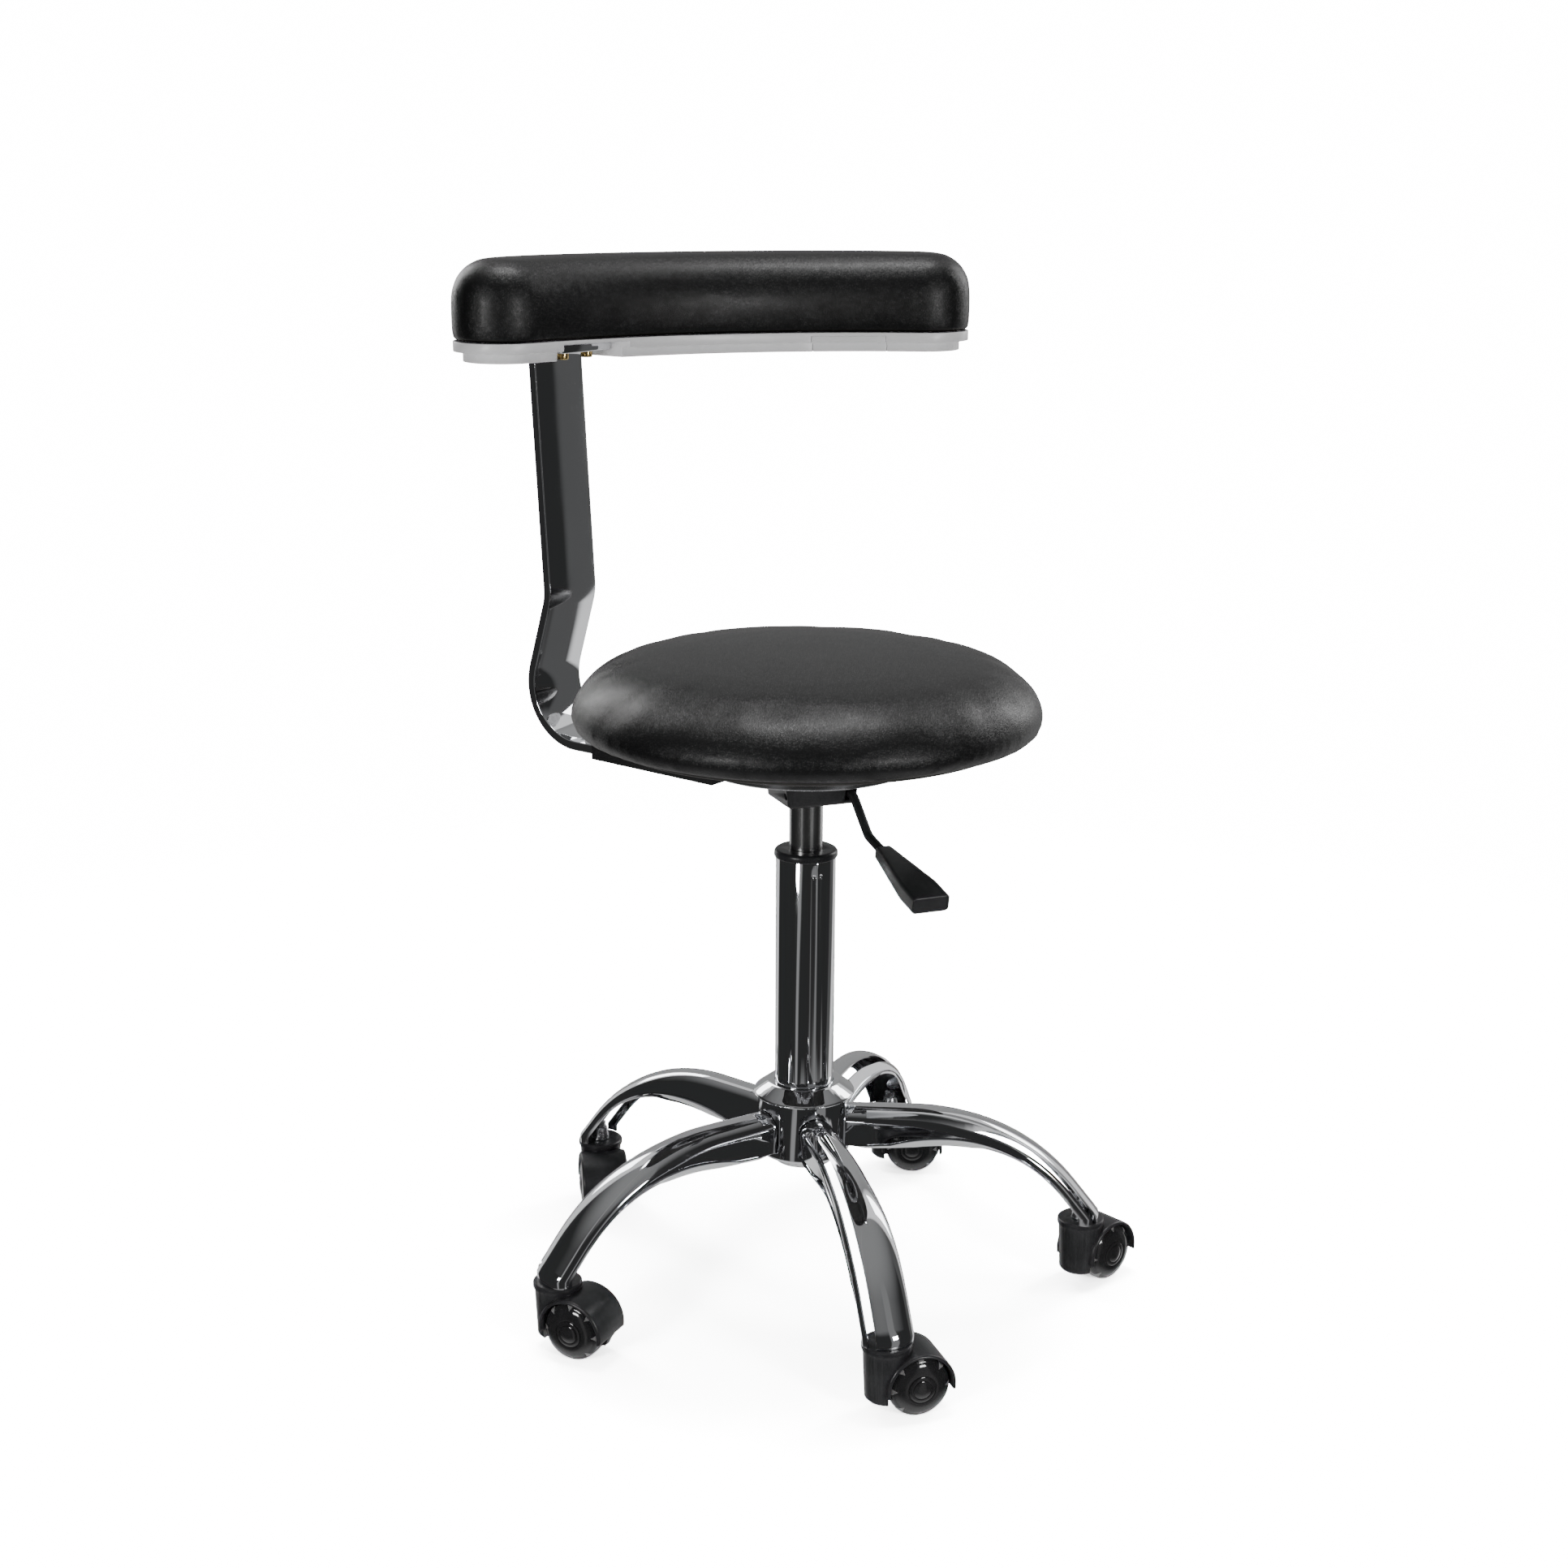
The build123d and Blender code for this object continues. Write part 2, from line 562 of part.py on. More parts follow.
def lift_mechanism():
    """Lift mechanism: open-topped pressed box, taper seat, and the boss the back turns on."""
    box = mech_shell(0, MECH_Z)
    box = fillet(box.edges().group_by(Axis.Z)[0], 3)
    body = box - mech_shell(MECH_WALL, MECH_Z + MECH_WALL)
    seat_outer = LEVER_AXLE_BACK - LEVER_AXLE_DIAMETER / 2 - 0.5
    body += rod(seat_outer, MECH_Z, CYLINDER_TOP_Z)
    body += rod(SWIVEL_FLANGE_DIAMETER / 2, DISC_Z, DISC_Z + SWIVEL_FLANGE)
    body += rod(SWIVEL_BOSS_DIAMETER / 2, DISC_Z + SWIVEL_FLANGE, BOARD_Z)
    radius = CYLINDER_DIAMETER / 2
    body -= revolved(
        [
            (0, MECH_Z - 1),
            (radius, MECH_Z - 1),
            (radius, MECH_Z),
            (TAPER_TOP_DIAMETER / 2, CYLINDER_TOP_Z),
            (0, CYLINDER_TOP_Z),
        ]
    )
    # Room for the tongue above the taper seat and under the seat board.
    well_back = TONGUE_REACH + 6
    well_front = LEVER_AXLE_BACK + 5
    well = Box(TONGUE_WIDTH + 8, well_back + well_front, TONGUE_THICKNESS + 6)
    body -= Pos(0, (well_back - well_front) / 2, TONGUE_Z + TONGUE_THICKNESS / 2) * well
    # Bearing cheek for the axle beside the taper seat, on the lever's side.
    cheek_z = (MECH_Z + MECH_WALL + DISC_Z) / 2
    cheek = Box(3, 12, DISC_Z - MECH_Z - MECH_WALL)
    body += Pos(19.5, -LEVER_AXLE_BACK, cheek_z) * cheek
    axle_bore = Rot(0, 90, 0) * Cylinder(LEVER_AXLE_DIAMETER / 2 + RUN_FIT, 64)
    body -= Pos(-8, -LEVER_AXLE_BACK, AXLE_LEVER_Z) * axle_bore
    # Slot where the rod leaves the front face.
    slot = Box(LEVER_ROD_DIAMETER + 2.5, MECH_FRONT - LEVER_AXLE_BACK + 8, LEVER_ROD_DIAMETER + 4.5)
    slot_y = -(MECH_FRONT + LEVER_AXLE_BACK) / 2 - 2
    body -= Pos(LEVER_X, slot_y, AXLE_LEVER_Z) * slot
    for place in seat_bolt_places():
        body -= place * rod(BOLT_DIAMETER / 2, 0, BIG)
    return body


def seat_bolt_places():
    """Four bolts on a square round the column."""
    reach = SEAT_BOLT_CIRCLE
    return [Rot(0, 0, 45 + 90 * k) * Pos(reach, 0, 0) for k in range(4)]


def hex_bolt(under_head, tip):
    """Bolt pointing up: hexagon head below, shank up to its tip."""
    head = extrude(RegularPolygon(BOLT_HEAD_ACROSS / 2, 6, major_radius=False), BOLT_HEAD_HEIGHT)
    head = Pos(0, 0, under_head - BOLT_HEAD_HEIGHT) * head
    return head + rod(BOLT_DIAMETER / 2, under_head, tip)


def seat_bolts():
    bolt = hex_bolt(DISC_Z, BOARD_Z + BOARD_THICKNESS - 6)
    return [place * bolt for place in seat_bolt_places()]


def swivel_disc():
    """Ring that carries the backrest, stepped to ride on the mechanism's flange."""
    step = DISC_Z + SWIVEL_FLANGE + RUN_FIT
    ring = rod(DISC_DIAMETER / 2, DISC_Z, DISC_Z + DISC_THICKNESS)
    ring = chamfer(ring.edges().filter_by(GeomType.CIRCLE), 1)
    ring -= rod(SWIVEL_FLANGE_DIAMETER / 2 + RUN_FIT, 0, step)
    ring -= rod(SWIVEL_BOSS_DIAMETER / 2 + RUN_FIT, 0, BIG)
    for place in bracket_bolt_places():
        ring -= place * rod(BOLT_DIAMETER / 2, 0, DISC_Z + DISC_THICKNESS - 1)
    return ring


def seat_board():
    """Plywood board under the cushion, chamfered at its lower edge."""
    radius = BOARD_DIAMETER / 2
    board = rod(radius, BOARD_Z, SEAT_Z)
    board = chamfer(board.edges().group_by(Axis.Z)[0], BOARD_CHAMFER)
    for place in seat_bolt_places():
        board -= place * rod(BOLT_DIAMETER / 2, 0, SEAT_Z - 6)
    return board


def seat_cushion():
    """Round cushion: flat underneath, rolled side, gently crowned top."""
    radius = SEAT_DIAMETER / 2
    base = radius - 19
    edge_z = SEAT_Z + SEAT_HEIGHT - SEAT_CROWN
    bottom = Line((0, SEAT_Z), (base, SEAT_Z))
    low_roll = ThreePointArc((base, SEAT_Z), (radius - 4.5, SEAT_Z + 4.5), (radius, SEAT_Z + 14))
    shoulder = radius - 26
    top_roll = Spline(
        (radius, SEAT_Z + 14),
        (radius - 7.5, edge_z - 12),
        (shoulder, edge_z),
        tangents=((0, 1), (-1, 0.12)),
    )
    crown = Spline((shoulder, edge_z), (0, SEAT_Z + SEAT_HEIGHT), tangents=((-1, 0.12), (-1, 0)))
    middle = Line((0, SEAT_Z + SEAT_HEIGHT), (0, SEAT_Z))
    outline = Plane.XZ * make_face([bottom, low_roll, top_roll, crown, middle])
    return revolve(outline, Axis.Z)


def lever_points():
    """Middle line of the lever's rod, from the axle down to inside the paddle."""
    z = AXLE_LEVER_Z
    y = -LEVER_AXLE_BACK
    return [
        (LEVER_X, y, z),
        (LEVER_X, y - 13, z - 2),
        (LEVER_X, y - 43, z - 27),
        (LEVER_X, y - 87, z - 35),
    ]


def lever_rod():
    """Bent rod on its cross axle, with the tongue that presses the valve."""
    line = FilletPolyline(*lever_points(), radius=12)
    start = Plane(line @ 0, z_dir=line % 0)
    bent = sweep(start * Circle(LEVER_ROD_DIAMETER / 2), path=line)
    left_end = -MECH_LEFT + 2 * MECH_WALL
    length = LEVER_X - left_end
    axle = Rot(0, 90, 0) * Cylinder(LEVER_AXLE_DIAMETER / 2, length)
    axle = Pos((LEVER_X + left_end) / 2, -LEVER_AXLE_BACK, AXLE_LEVER_Z) * axle
    corner = Pos(LEVER_X, -LEVER_AXLE_BACK, AXLE_LEVER_Z) * Sphere(LEVER_ROD_DIAMETER / 2)
    front = -LEVER_AXLE_BACK - LEVER_AXLE_DIAMETER / 2
    top = TONGUE_Z + TONGUE_THICKNESS
    upright = Box(TONGUE_WIDTH, TONGUE_THICKNESS, top - AXLE_LEVER_Z)
    upright = Pos(0, front + TONGUE_THICKNESS / 2, (top + AXLE_LEVER_Z) / 2) * upright
    reach = TONGUE_REACH - front
    finger = Box(TONGUE_WIDTH, reach, TONGUE_THICKNESS)
    finger = Pos(0, front + reach / 2, TONGUE_Z + TONGUE_THICKNESS / 2) * finger
    return bent + axle + corner + upright + finger


def lever_paddle():
    """Moulded grip: a wedge that widens and thickens towards its blunt front."""
    last, tip = lever_points()[-2:]
    run = math.hypot(tip[1] - last[1], tip[2] - last[2])
    dy, dz = (tip[1] - last[1]) / run, (tip[2] - last[2]) / run
    root_y = tip[1] - PADDLE_GRIP * dy
    root_z = tip[2] - PADDLE_GRIP * dz
    sections = []
    shares = (0.0, 0.25, 0.72, 1.0)
    for share in shares:
        grow = min(1.0, share / 0.72)
        width = PADDLE_ROOT_WIDTH + (PADDLE_WIDTH - PADDLE_ROOT_WIDTH) * grow
        thick = PADDLE_ROOT_THICKNESS + (PADDLE_THICKNESS - PADDLE_ROOT_THICKNESS) * grow
        away = PADDLE_LENGTH * share
        origin = (LEVER_X, root_y + away * dy, root_z + away * dz)
        plane = Plane(origin, x_dir=(1, 0, 0), z_dir=(0, dy, dz))
        sections.append(plane * RectangleRounded(width, thick, 3))
    grip = loft(sections, ruled=True)
    front = grip.faces().sort_by(Axis.Y)[0]
    grip = fillet(front.edges(), 1.5)
    return grip - lever_rod()


# ---- backrest, modelled with the bar's plane on +Y and then swung to the bar's azimuth ------
def at_bar(shape):
    return Rot(0, 0, BAR_AZIMUTH - 90) * shape


def bar_profile():
    """Middle line of the bar seen from its edge."""
    points = [
        (0, BAR_START, BAR_Z),
        (0, BAR_LOW_REACH, BAR_Z),
        (0, BAR_KNEE_REACH, BAR_Z + BAR_KNEE_RISE),
        (0, BAR_TOP_REACH, TAB_Z),
        (0, BAR_TAB_START, TAB_Z),
    ]
    return FilletPolyline(*points, radius=(BAR_LOW_RADIUS, BAR_KNEE_RADIUS, BAR_TOP_RADIUS))


def bar_screw_places():
    """Screws that clamp the bar in its bracket, pairs along the run."""
    middle = (BAR_START + BRACKET_START + BRACKET_LENGTH) / 2
    return [Pos(0, middle + side * 24, 0) for side in (-1, 1)]


def bracket_bolt_places():
    """Bolts through the bracket's inner end into the swivel disc."""
    reach = (SWIVEL_FLANGE_DIAMETER + DISC_DIAMETER) / 4 + 1
    return [at_bar(Pos(side * BAR_SCREW_SPACING, reach, 0)) for side in (-1, 1)]


def tray_screw_places():
    """Screws through the bar's tab into the backrest."""
    reach = BAR_TAB_START + 14
    return [at_bar(Pos(side * TRAY_SCREW_SPACING / 2, reach, 0)) for side in (-1, 1)]


def back_bar():
    """Flat chromed bar bent four ways, drilled at both ends."""
    line = bar_profile()
    start = Plane(line @ 0, x_dir=(1, 0, 0), z_dir=line % 0)
    bar = sweep(start * Rectangle(BAR_WIDTH, BAR_THICKNESS), path=line)
    for place in bar_screw_places():
        bar -= place * rod(BOLT_DIAMETER / 2, 0, BAR_Z + BAR_THICKNESS)
    bar = at_bar(bar)
    for place in tray_screw_places():
        bar -= place * rod(BOLT_DIAMETER / 2, TAB_Z - BAR_THICKNESS, BIG)
    return bar


def bar_bracket():
    """Cast clamp under the swivel disc: slot for the bar and ribbed pockets below it."""
    end = BRACKET_START + BRACKET_LENGTH
    outer_width = BAR_WIDTH + 2 * BRACKET_SIDE
    bottom = DISC_Z - BRACKET_HEIGHT
    middle = Pos(0, (BRACKET_START + end) / 2, bottom + BRACKET_HEIGHT / 2)
    body = middle * Box(outer_width, BRACKET_LENGTH, BRACKET_HEIGHT)
    body = fillet(body.edges().filter_by(Axis.Z), 6)
    body = chamfer(body.edges().group_by(Axis.Z)[0], 2.5)
    bar_top = BAR_Z + BAR_THICKNESS / 2
    bar_bottom = BAR_Z - BAR_THICKNESS / 2
    slot = Box(BAR_WIDTH + GLIDE_GAP, end - BAR_START + 1, BAR_THICKNESS)
    body -= Pos(0, (BAR_START + end + 1) / 2, BAR_Z) * slot
    pocket_top = bar_bottom - BRACKET_FLOOR
    cells = 3
    cell = (BRACKET_LENGTH - 2 * BRACKET_SIDE - (cells - 1) * BRACKET_RIB) / cells
    pocket_height = pocket_top - bottom
    for k in range(cells):
        start = BRACKET_START + BRACKET_SIDE + k * (cell + BRACKET_RIB)
        pocket = Box(outer_width - 2 * BRACKET_SIDE, cell, pocket_height)
        pocket = fillet(pocket.edges().filter_by(Axis.Z), 3)
        body -= Pos(0, start + cell / 2, bottom + pocket_height / 2) * pocket
    for place in bar_screw_places():
        boss = place * rod(BOLT_HEAD_ACROSS * 0.9, bottom + BOLT_HEAD_HEIGHT, pocket_top)
        body += boss - place * rod(BOLT_DIAMETER / 2, 0, pocket_top)
        body -= place * rod(BOLT_DIAMETER / 2, 0, bar_top + BOLT_DIAMETER)
    body = at_bar(body)
    head_room = rod(BOLT_HEAD_ACROSS * 0.7, 0, DISC_Z - BOLT_DIAMETER)
    for place in bracket_bolt_places():
        body -= place * head_room
        body -= place * rod(BOLT_DIAMETER / 2, 0, BIG)
    return body


def bar_bolts():
    """Two bolts up into the swivel disc and two screws up into the bar."""
    under_disc = DISC_Z - BOLT_DIAMETER
    clamp_head = DISC_Z - BRACKET_HEIGHT + BOLT_HEAD_HEIGHT
    disc_bolt = hex_bolt(under_disc, DISC_Z + DISC_THICKNESS - 1)
    clamp = hex_bolt(clamp_head, BAR_Z + BAR_THICKNESS / 2 + BOLT_DIAMETER)
    bolts = [place * disc_bolt for place in bracket_bolt_places()]
    return bolts + [at_bar(place * clamp) for place in bar_screw_places()]


def pad_outline(inset):
    """Plan outline of the backrest, shrunk by an inset: an arc with round ends."""
    sweep_angle = 2 * PAD_HALF_ANGLE
    line = CenterArc((0, PAD_CENTRE_Y), PAD_RADIUS, 90 - PAD_HALF_ANGLE, sweep_angle)
    return SlotArc(line, PAD_THICKNESS - 2 * inset)


def tray_step(inset, bottom, top):
    return slab(pad_outline(inset), bottom, top)


def pocket_box(width, bottom, top):
    """Room for the bar's tab, open towards the sitter, in the bar's own plane."""
    back = BAR_TOP_REACH + BAR_THICKNESS / 2 + POCKET_SIDE_GAP
    front = back - PAD_THICKNESS
    box = Pos(0, (front + back) / 2, (bottom + top) / 2) * Box(width, back - front, top - bottom)
    return at_bar(box)


def mirrored(shape):
    return mirror(shape, Plane.YZ)


def back_tray():
    """Moulded two-step tray: thin walls, a bar pocket and a spare one closed by a cover."""
    step_z = TRAY_Z + TRAY_STEP
    outer = tray_step(TRAY_LOWER_INSET, TRAY_Z, step_z) + tray_step(TRAY_UPPER_INSET, step_z, TRAY_TOP_Z)
    hollow = tray_step(TRAY_LOWER_INSET + TRAY_WALL, TRAY_Z + TRAY_WALL, TRAY_TOP_Z)
    hollow += tray_step(TRAY_UPPER_INSET + TRAY_WALL, step_z + TRAY_WALL, TRAY_TOP_Z)
    tray = outer - hollow
    pocket_width = BAR_WIDTH + 2 * POCKET_SIDE_GAP
    block = pocket_box(pocket_width + 2 * TRAY_WALL, TRAY_Z, TRAY_TOP_Z) & outer
    room = pocket_box(pocket_width, TRAY_Z - 1, POCKET_TOP_Z)
    tray = tray + block + mirrored(block)
    tray = tray - room - mirrored(room)
    for place in tray_screw_places():
        tray -= place * rod(BOLT_DIAMETER / 2, 0, BIG)
    return tray


def tray_cover():
    """Clip-in cover that closes the spare pocket flush with the tray."""
    width = BAR_WIDTH + 2 * POCKET_SIDE_GAP - 2 * SOFT_GAP
    step_z = TRAY_Z + TRAY_STEP
    outer = tray_step(TRAY_LOWER_INSET, TRAY_Z, step_z) + tray_step(TRAY_UPPER_INSET, step_z, POCKET_TOP_Z)
    inner = tray_step(TRAY_LOWER_INSET + TRAY_WALL, TRAY_Z + TRAY_WALL, POCKET_TOP_Z)
    inner += tray_step(TRAY_UPPER_INSET + TRAY_WALL, step_z + TRAY_WALL, POCKET_TOP_Z)
    cover = (pocket_box(width, TRAY_Z, POCKET_TOP_Z) & outer) - inner
    return mirrored(cover)


def back_cushion():
    """Upholstered pad with rounded edges, seated on the tray."""
    pad = slab(pad_outline(0), TRAY_TOP_Z, TRAY_TOP_Z + PAD_HEIGHT)
    pad = fillet(pad.edges().group_by(Axis.Z)[-1], PAD_TOP_ROUND)
    pad = fillet(pad.edges().group_by(Axis.Z)[0], PAD_BOTTOM_ROUND * 0.5)
    for place in tray_screw_places():
        pad -= place * rod(BOLT_DIAMETER / 2, 0, TRAY_TOP_Z + TRAY_SCREW_BITE)
    return pad


def tray_screws():
    """Cap screws with hexagon sockets, up through the tab into the pad's board."""
    under = TAB_Z - BAR_THICKNESS / 2
    head = rod(5, under - TRAY_SCREW_HEAD, under)
    head = chamfer(head.edges().group_by(Axis.Z)[0], 0.6)
    socket = Pos(0, 0, under - TRAY_SCREW_HEAD) * extrude(RegularPolygon(2.5, 6, major_radius=False), 3)
    screw = (head - socket) + rod(BOLT_DIAMETER / 2, under, TRAY_TOP_Z + TRAY_SCREW_BITE)
    return [place * screw for place in tray_screw_places()]


def group(shapes):
    """Several separate solids that share one node."""
    return Compound(children=[s for shape in shapes for s in shape.solids()])


def write_base():
    one_leg = leg()
    legs = about_legs()
    save("hub", hub())
    save("hub_collar", hub_collar())
    for k, place in enumerate(legs):
        save(f"leg_{k + 1}", place * one_leg)
    socket = caster_socket(one_leg)
    save("caster_sockets", group([place * socket for place in legs]))
    save("caster_stems", group([place * caster_stem() for place in caster_places()]))
    save("column_tube", column_tube())
    save("guide_bushing", guide_bushing())
    save("thrust_bearing", thrust_bearing())


def write_lift_and_seat():
    save("piston_rod", piston_rod())
    save("column_clip", column_clip())
    save("gas_cylinder", gas_cylinder())
    save("valve_pin", valve_pin())
    save("lift_mechanism", lift_mechanism())
    save("lever_rod", lever_rod())
    save("lever_paddle", lever_paddle())
    save("seat_board", seat_board())
    save("seat_cushion", seat_cushion())
    save("seat_bolts", group(seat_bolts()))


def write_backrest():
    save("swivel_disc", swivel_disc())
    save("bar_bracket", bar_bracket())
    save("back_bar", back_bar())
    save("bar_bolts", group(bar_bolts()))
    save("back_tray", back_tray())
    save("tray_cover", tray_cover())
    save("back_cushion", back_cushion())
    save("tray_screws", group(tray_screws()))


def write_casters():
    pieces = {
        "hood": caster_hood(),
        "axle": caster_axle(),
        "left_core": wheel_core(1),
        "left_tread": wheel_tread(1),
        "right_core": wheel_core(-1),
        "right_tread": wheel_tread(-1),
    }
    for k, place in enumerate(caster_places()):
        for piece, shape in pieces.items():
            save(f"caster_{k + 1}_{piece}", place * shape)


os.makedirs("parts", exist_ok=True)
write_base()
write_lift_and_seat()
write_backrest()
write_casters()
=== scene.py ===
# %% [markdown]
# # A rolling stylist stool
# The stool is made of parts that a maker buys or bends separately: a chromed
# five-leg base on twin-wheel casters, a gas lift, a round padded seat and a padded
# backrest on a flat steel bar. The exact frame comes from CAD. This lesson keeps its
# hard machined pieces, gives them real edges and finishes, and models again what
# needs a softer or finer form: the pressed legs, the bent bar, the seat board, the
# cast bracket, the wheels and the cushions.

# %% The fixed frame
import math

import bmesh
import bpy
import numpy as np
from mathutils import Matrix, Quaternion, Vector


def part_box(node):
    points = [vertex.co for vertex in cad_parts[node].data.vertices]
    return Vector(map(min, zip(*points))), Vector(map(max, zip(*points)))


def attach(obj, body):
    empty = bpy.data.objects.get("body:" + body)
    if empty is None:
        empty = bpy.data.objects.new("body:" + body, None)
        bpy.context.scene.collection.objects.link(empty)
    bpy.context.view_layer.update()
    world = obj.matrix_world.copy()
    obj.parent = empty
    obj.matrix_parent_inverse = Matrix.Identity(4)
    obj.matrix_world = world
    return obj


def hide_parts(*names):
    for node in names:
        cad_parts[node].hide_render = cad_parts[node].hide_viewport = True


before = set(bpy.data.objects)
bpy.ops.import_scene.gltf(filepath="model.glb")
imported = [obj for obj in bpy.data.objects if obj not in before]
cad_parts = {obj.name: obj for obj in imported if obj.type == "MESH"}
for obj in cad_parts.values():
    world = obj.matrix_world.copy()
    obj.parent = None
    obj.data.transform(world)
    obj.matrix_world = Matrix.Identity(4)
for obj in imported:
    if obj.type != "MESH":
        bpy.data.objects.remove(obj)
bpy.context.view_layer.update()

# %% [markdown]
# ## Hands for the work
# Operators act on whatever is selected, and the frame arrives selected. So every
# piece starts with everything put down. Edges and faces are then picked by where
# they are, the way an eye would pick them in the viewport.


# %% Starting, picking and turning
MM = 0.001


def start_clean():
    """Leave edit mode and put everything down."""
    if bpy.context.object and bpy.context.object.mode != "OBJECT":
        bpy.ops.object.mode_set(mode="OBJECT")
    bpy.ops.object.select_all(action="DESELECT")


def named(name):
    """Name the piece just added and open it in edit mode, with all of it selected."""
    piece = bpy.context.object
    piece.name = piece.data.name = name
    bpy.ops.object.mode_set(mode="EDIT")
    bpy.ops.mesh.select_mode(type="VERT")
    bpy.ops.mesh.select_all(action="SELECT")
    return piece


def pick(kind, test):
    """Select the verts, edges or faces that pass a test, and say how many there are."""
    bpy.ops.mesh.select_mode(type=kind)
    bpy.ops.mesh.select_all(action="DESELECT")
    mesh = bpy.context.object.data
    shape = bmesh.from_edit_mesh(mesh)
    parts = {"VERT": shape.verts, "EDGE": shape.edges, "FACE": shape.faces}[kind]
    parts.ensure_lookup_table()
    chosen = [part for part in parts if test(part)]
    for part in chosen:
        part.select_set(True)
    shape.select_flush_mode()
    bmesh.update_edit_mesh(mesh)
    return len(chosen)


def turn(angle, axis, about):
    """Turn what is selected about a point, counter-clockwise seen from the axis's tip."""
    bpy.ops.transform.rotate(value=-angle, orient_axis=axis, center_override=about)


def extrude_by(x, y, z):
    """Extrude what is selected and move it."""
    bpy.ops.mesh.extrude_region_move(TRANSFORM_OT_translate={"value": (x, y, z)})


def done():
    """Close edit mode."""
    bpy.ops.object.mode_set(mode="OBJECT")


def upright_section(name):
    """A millimetre square that stands across Y at the origin, open in edit mode."""
    start_clean()
    bpy.ops.mesh.primitive_plane_add(size=MM, rotation=(math.pi / 2, 0, 0))
    piece = named(name)
    done()
    bpy.ops.object.transform_apply(rotation=True)
    bpy.ops.object.mode_set(mode="EDIT")
    bpy.ops.mesh.select_all(action="SELECT")
    return piece


def use(piece, kind, **settings):
    """Add a modifier, set it and apply it at once."""
    bpy.context.view_layer.objects.active = piece
    modifier = piece.modifiers.new(kind.title(), kind)
    for setting, value in settings.items():
        setattr(modifier, setting, value)
    bpy.ops.object.modifier_apply(modifier=modifier.name)


def rounded_look(piece, degrees=35):
    """Shade smoothly across gentle bends and keep the sharp ones."""
    start_clean()
    piece.select_set(True)
    bpy.context.view_layer.objects.active = piece
    bpy.ops.object.shade_smooth_by_angle(angle=math.radians(degrees))


def copy_of(piece, name):
    """A copy with its own mesh."""
    twin = piece.copy()
    twin.data = piece.data.copy()
    twin.name = twin.data.name = name
    bpy.context.scene.collection.objects.link(twin)
    return twin


print("hands ready")

# %% [markdown]
# ## Shared surface effects
# A finish is convincing when its gloss is not the same everywhere. Three effects are
# used by many finishes, so each is one node group with its own inputs: soft smudges,
# fine handling scratches, and a moulded or sprayed grain. They give out only masks
# and heights. The shader itself stays in each material.


# %% Node helpers
def group_of(name, inputs, outputs):
    """An empty node group with named sockets, and its input and output nodes."""
    tree = bpy.data.node_groups.new(name, "ShaderNodeTree")
    for socket, kind, value in inputs:
        made = tree.interface.new_socket(socket, in_out="INPUT", socket_type=kind)
        if value is not None:
            made.default_value = value
    for socket in outputs:
        tree.interface.new_socket(socket, in_out="OUTPUT", socket_type="NodeSocketFloat")
    return tree, tree.nodes.new("NodeGroupInput"), tree.nodes.new("NodeGroupOutput")


def noise(tree, vector, scale, detail=3.0, rough=0.5):
    """Noise texture whose scale is a number or a socket."""
    node = tree.nodes.new("ShaderNodeTexNoise")
    node.inputs["Detail"].default_value = detail
    node.inputs["Roughness"].default_value = rough
    feed(tree, node.inputs["Scale"], scale)
    tree.links.new(vector, node.inputs["Vector"])
    return node.outputs["Fac"]


def feed(tree, socket, value):
    """Link a socket, or set it if the value is a plain number."""
    if isinstance(value, bpy.types.NodeSocket):
        tree.links.new(value, socket)
    else:
        socket.default_value = value


def maths(tree, operation, a, b=0.0):
    """One sum on two numbers or sockets."""
    node = tree.nodes.new("ShaderNodeMath")
    node.operation = operation
    feed(tree, node.inputs[0], a)
    feed(tree, node.inputs[1], b)
    return node.outputs[0]


def ramp(tree, value, low, high, to_low=0.0, to_high=1.0):
    """Map a value from one range to another, held at the ends."""
    node = tree.nodes.new("ShaderNodeMapRange")
    node.interpolation_type = "SMOOTHSTEP"
    ends = {"From Min": low, "From Max": high, "To Min": to_low, "To Max": to_high}
    for socket, number in ends.items():
        feed(tree, node.inputs[socket], number)
    feed(tree, node.inputs["Value"], value)
    return node.outputs["Result"]


def stretched(tree, vector, x, y, z):
    """The same coordinates, drawn out along some axes."""
    node = tree.nodes.new("ShaderNodeMapping")
    node.inputs["Scale"].default_value = (x, y, z)
    tree.links.new(vector, node.inputs["Vector"])
    return node.outputs["Vector"]


VECTOR, NUMBER = "NodeSocketVector", "NodeSocketFloat"


# %% Smudges: soft patches where hands and dust dull the gloss
smudges, come, go = group_of(
    "soft smudges", [("Vector", VECTOR, None), ("Scale", NUMBER, 9.0)], ["Mask"]
)
broad = noise(smudges, come.outputs["Vector"], come.outputs["Scale"], 5.0, 0.62)
smudges.links.new(ramp(smudges, broad, 0.42, 0.74), go.inputs["Mask"])

# %% Scratches: fine hairlines, a few of them deeper
hairlines, come, go = group_of(
    "handling scratches", [("Vector", VECTOR, None), ("Scale", NUMBER, 60.0)], ["Mask"]
)
place, size = come.outputs["Vector"], come.outputs["Scale"]
along = noise(hairlines, stretched(hairlines, place, 1, 14, 1.4), size, 2.0)
across = noise(hairlines, stretched(hairlines, place, 12, 1, 1.7), size, 2.0)
along, across = ramp(hairlines, along, 0.66, 0.76), ramp(hairlines, across, 0.68, 0.78)
lines = maths(hairlines, "MAXIMUM", along, across)
patchy = noise(hairlines, place, 14.0, 2.0)
kept = maths(hairlines, "MULTIPLY", lines, ramp(hairlines, patchy, 0.45, 0.62))
hairlines.links.new(kept, go.inputs["Mask"])

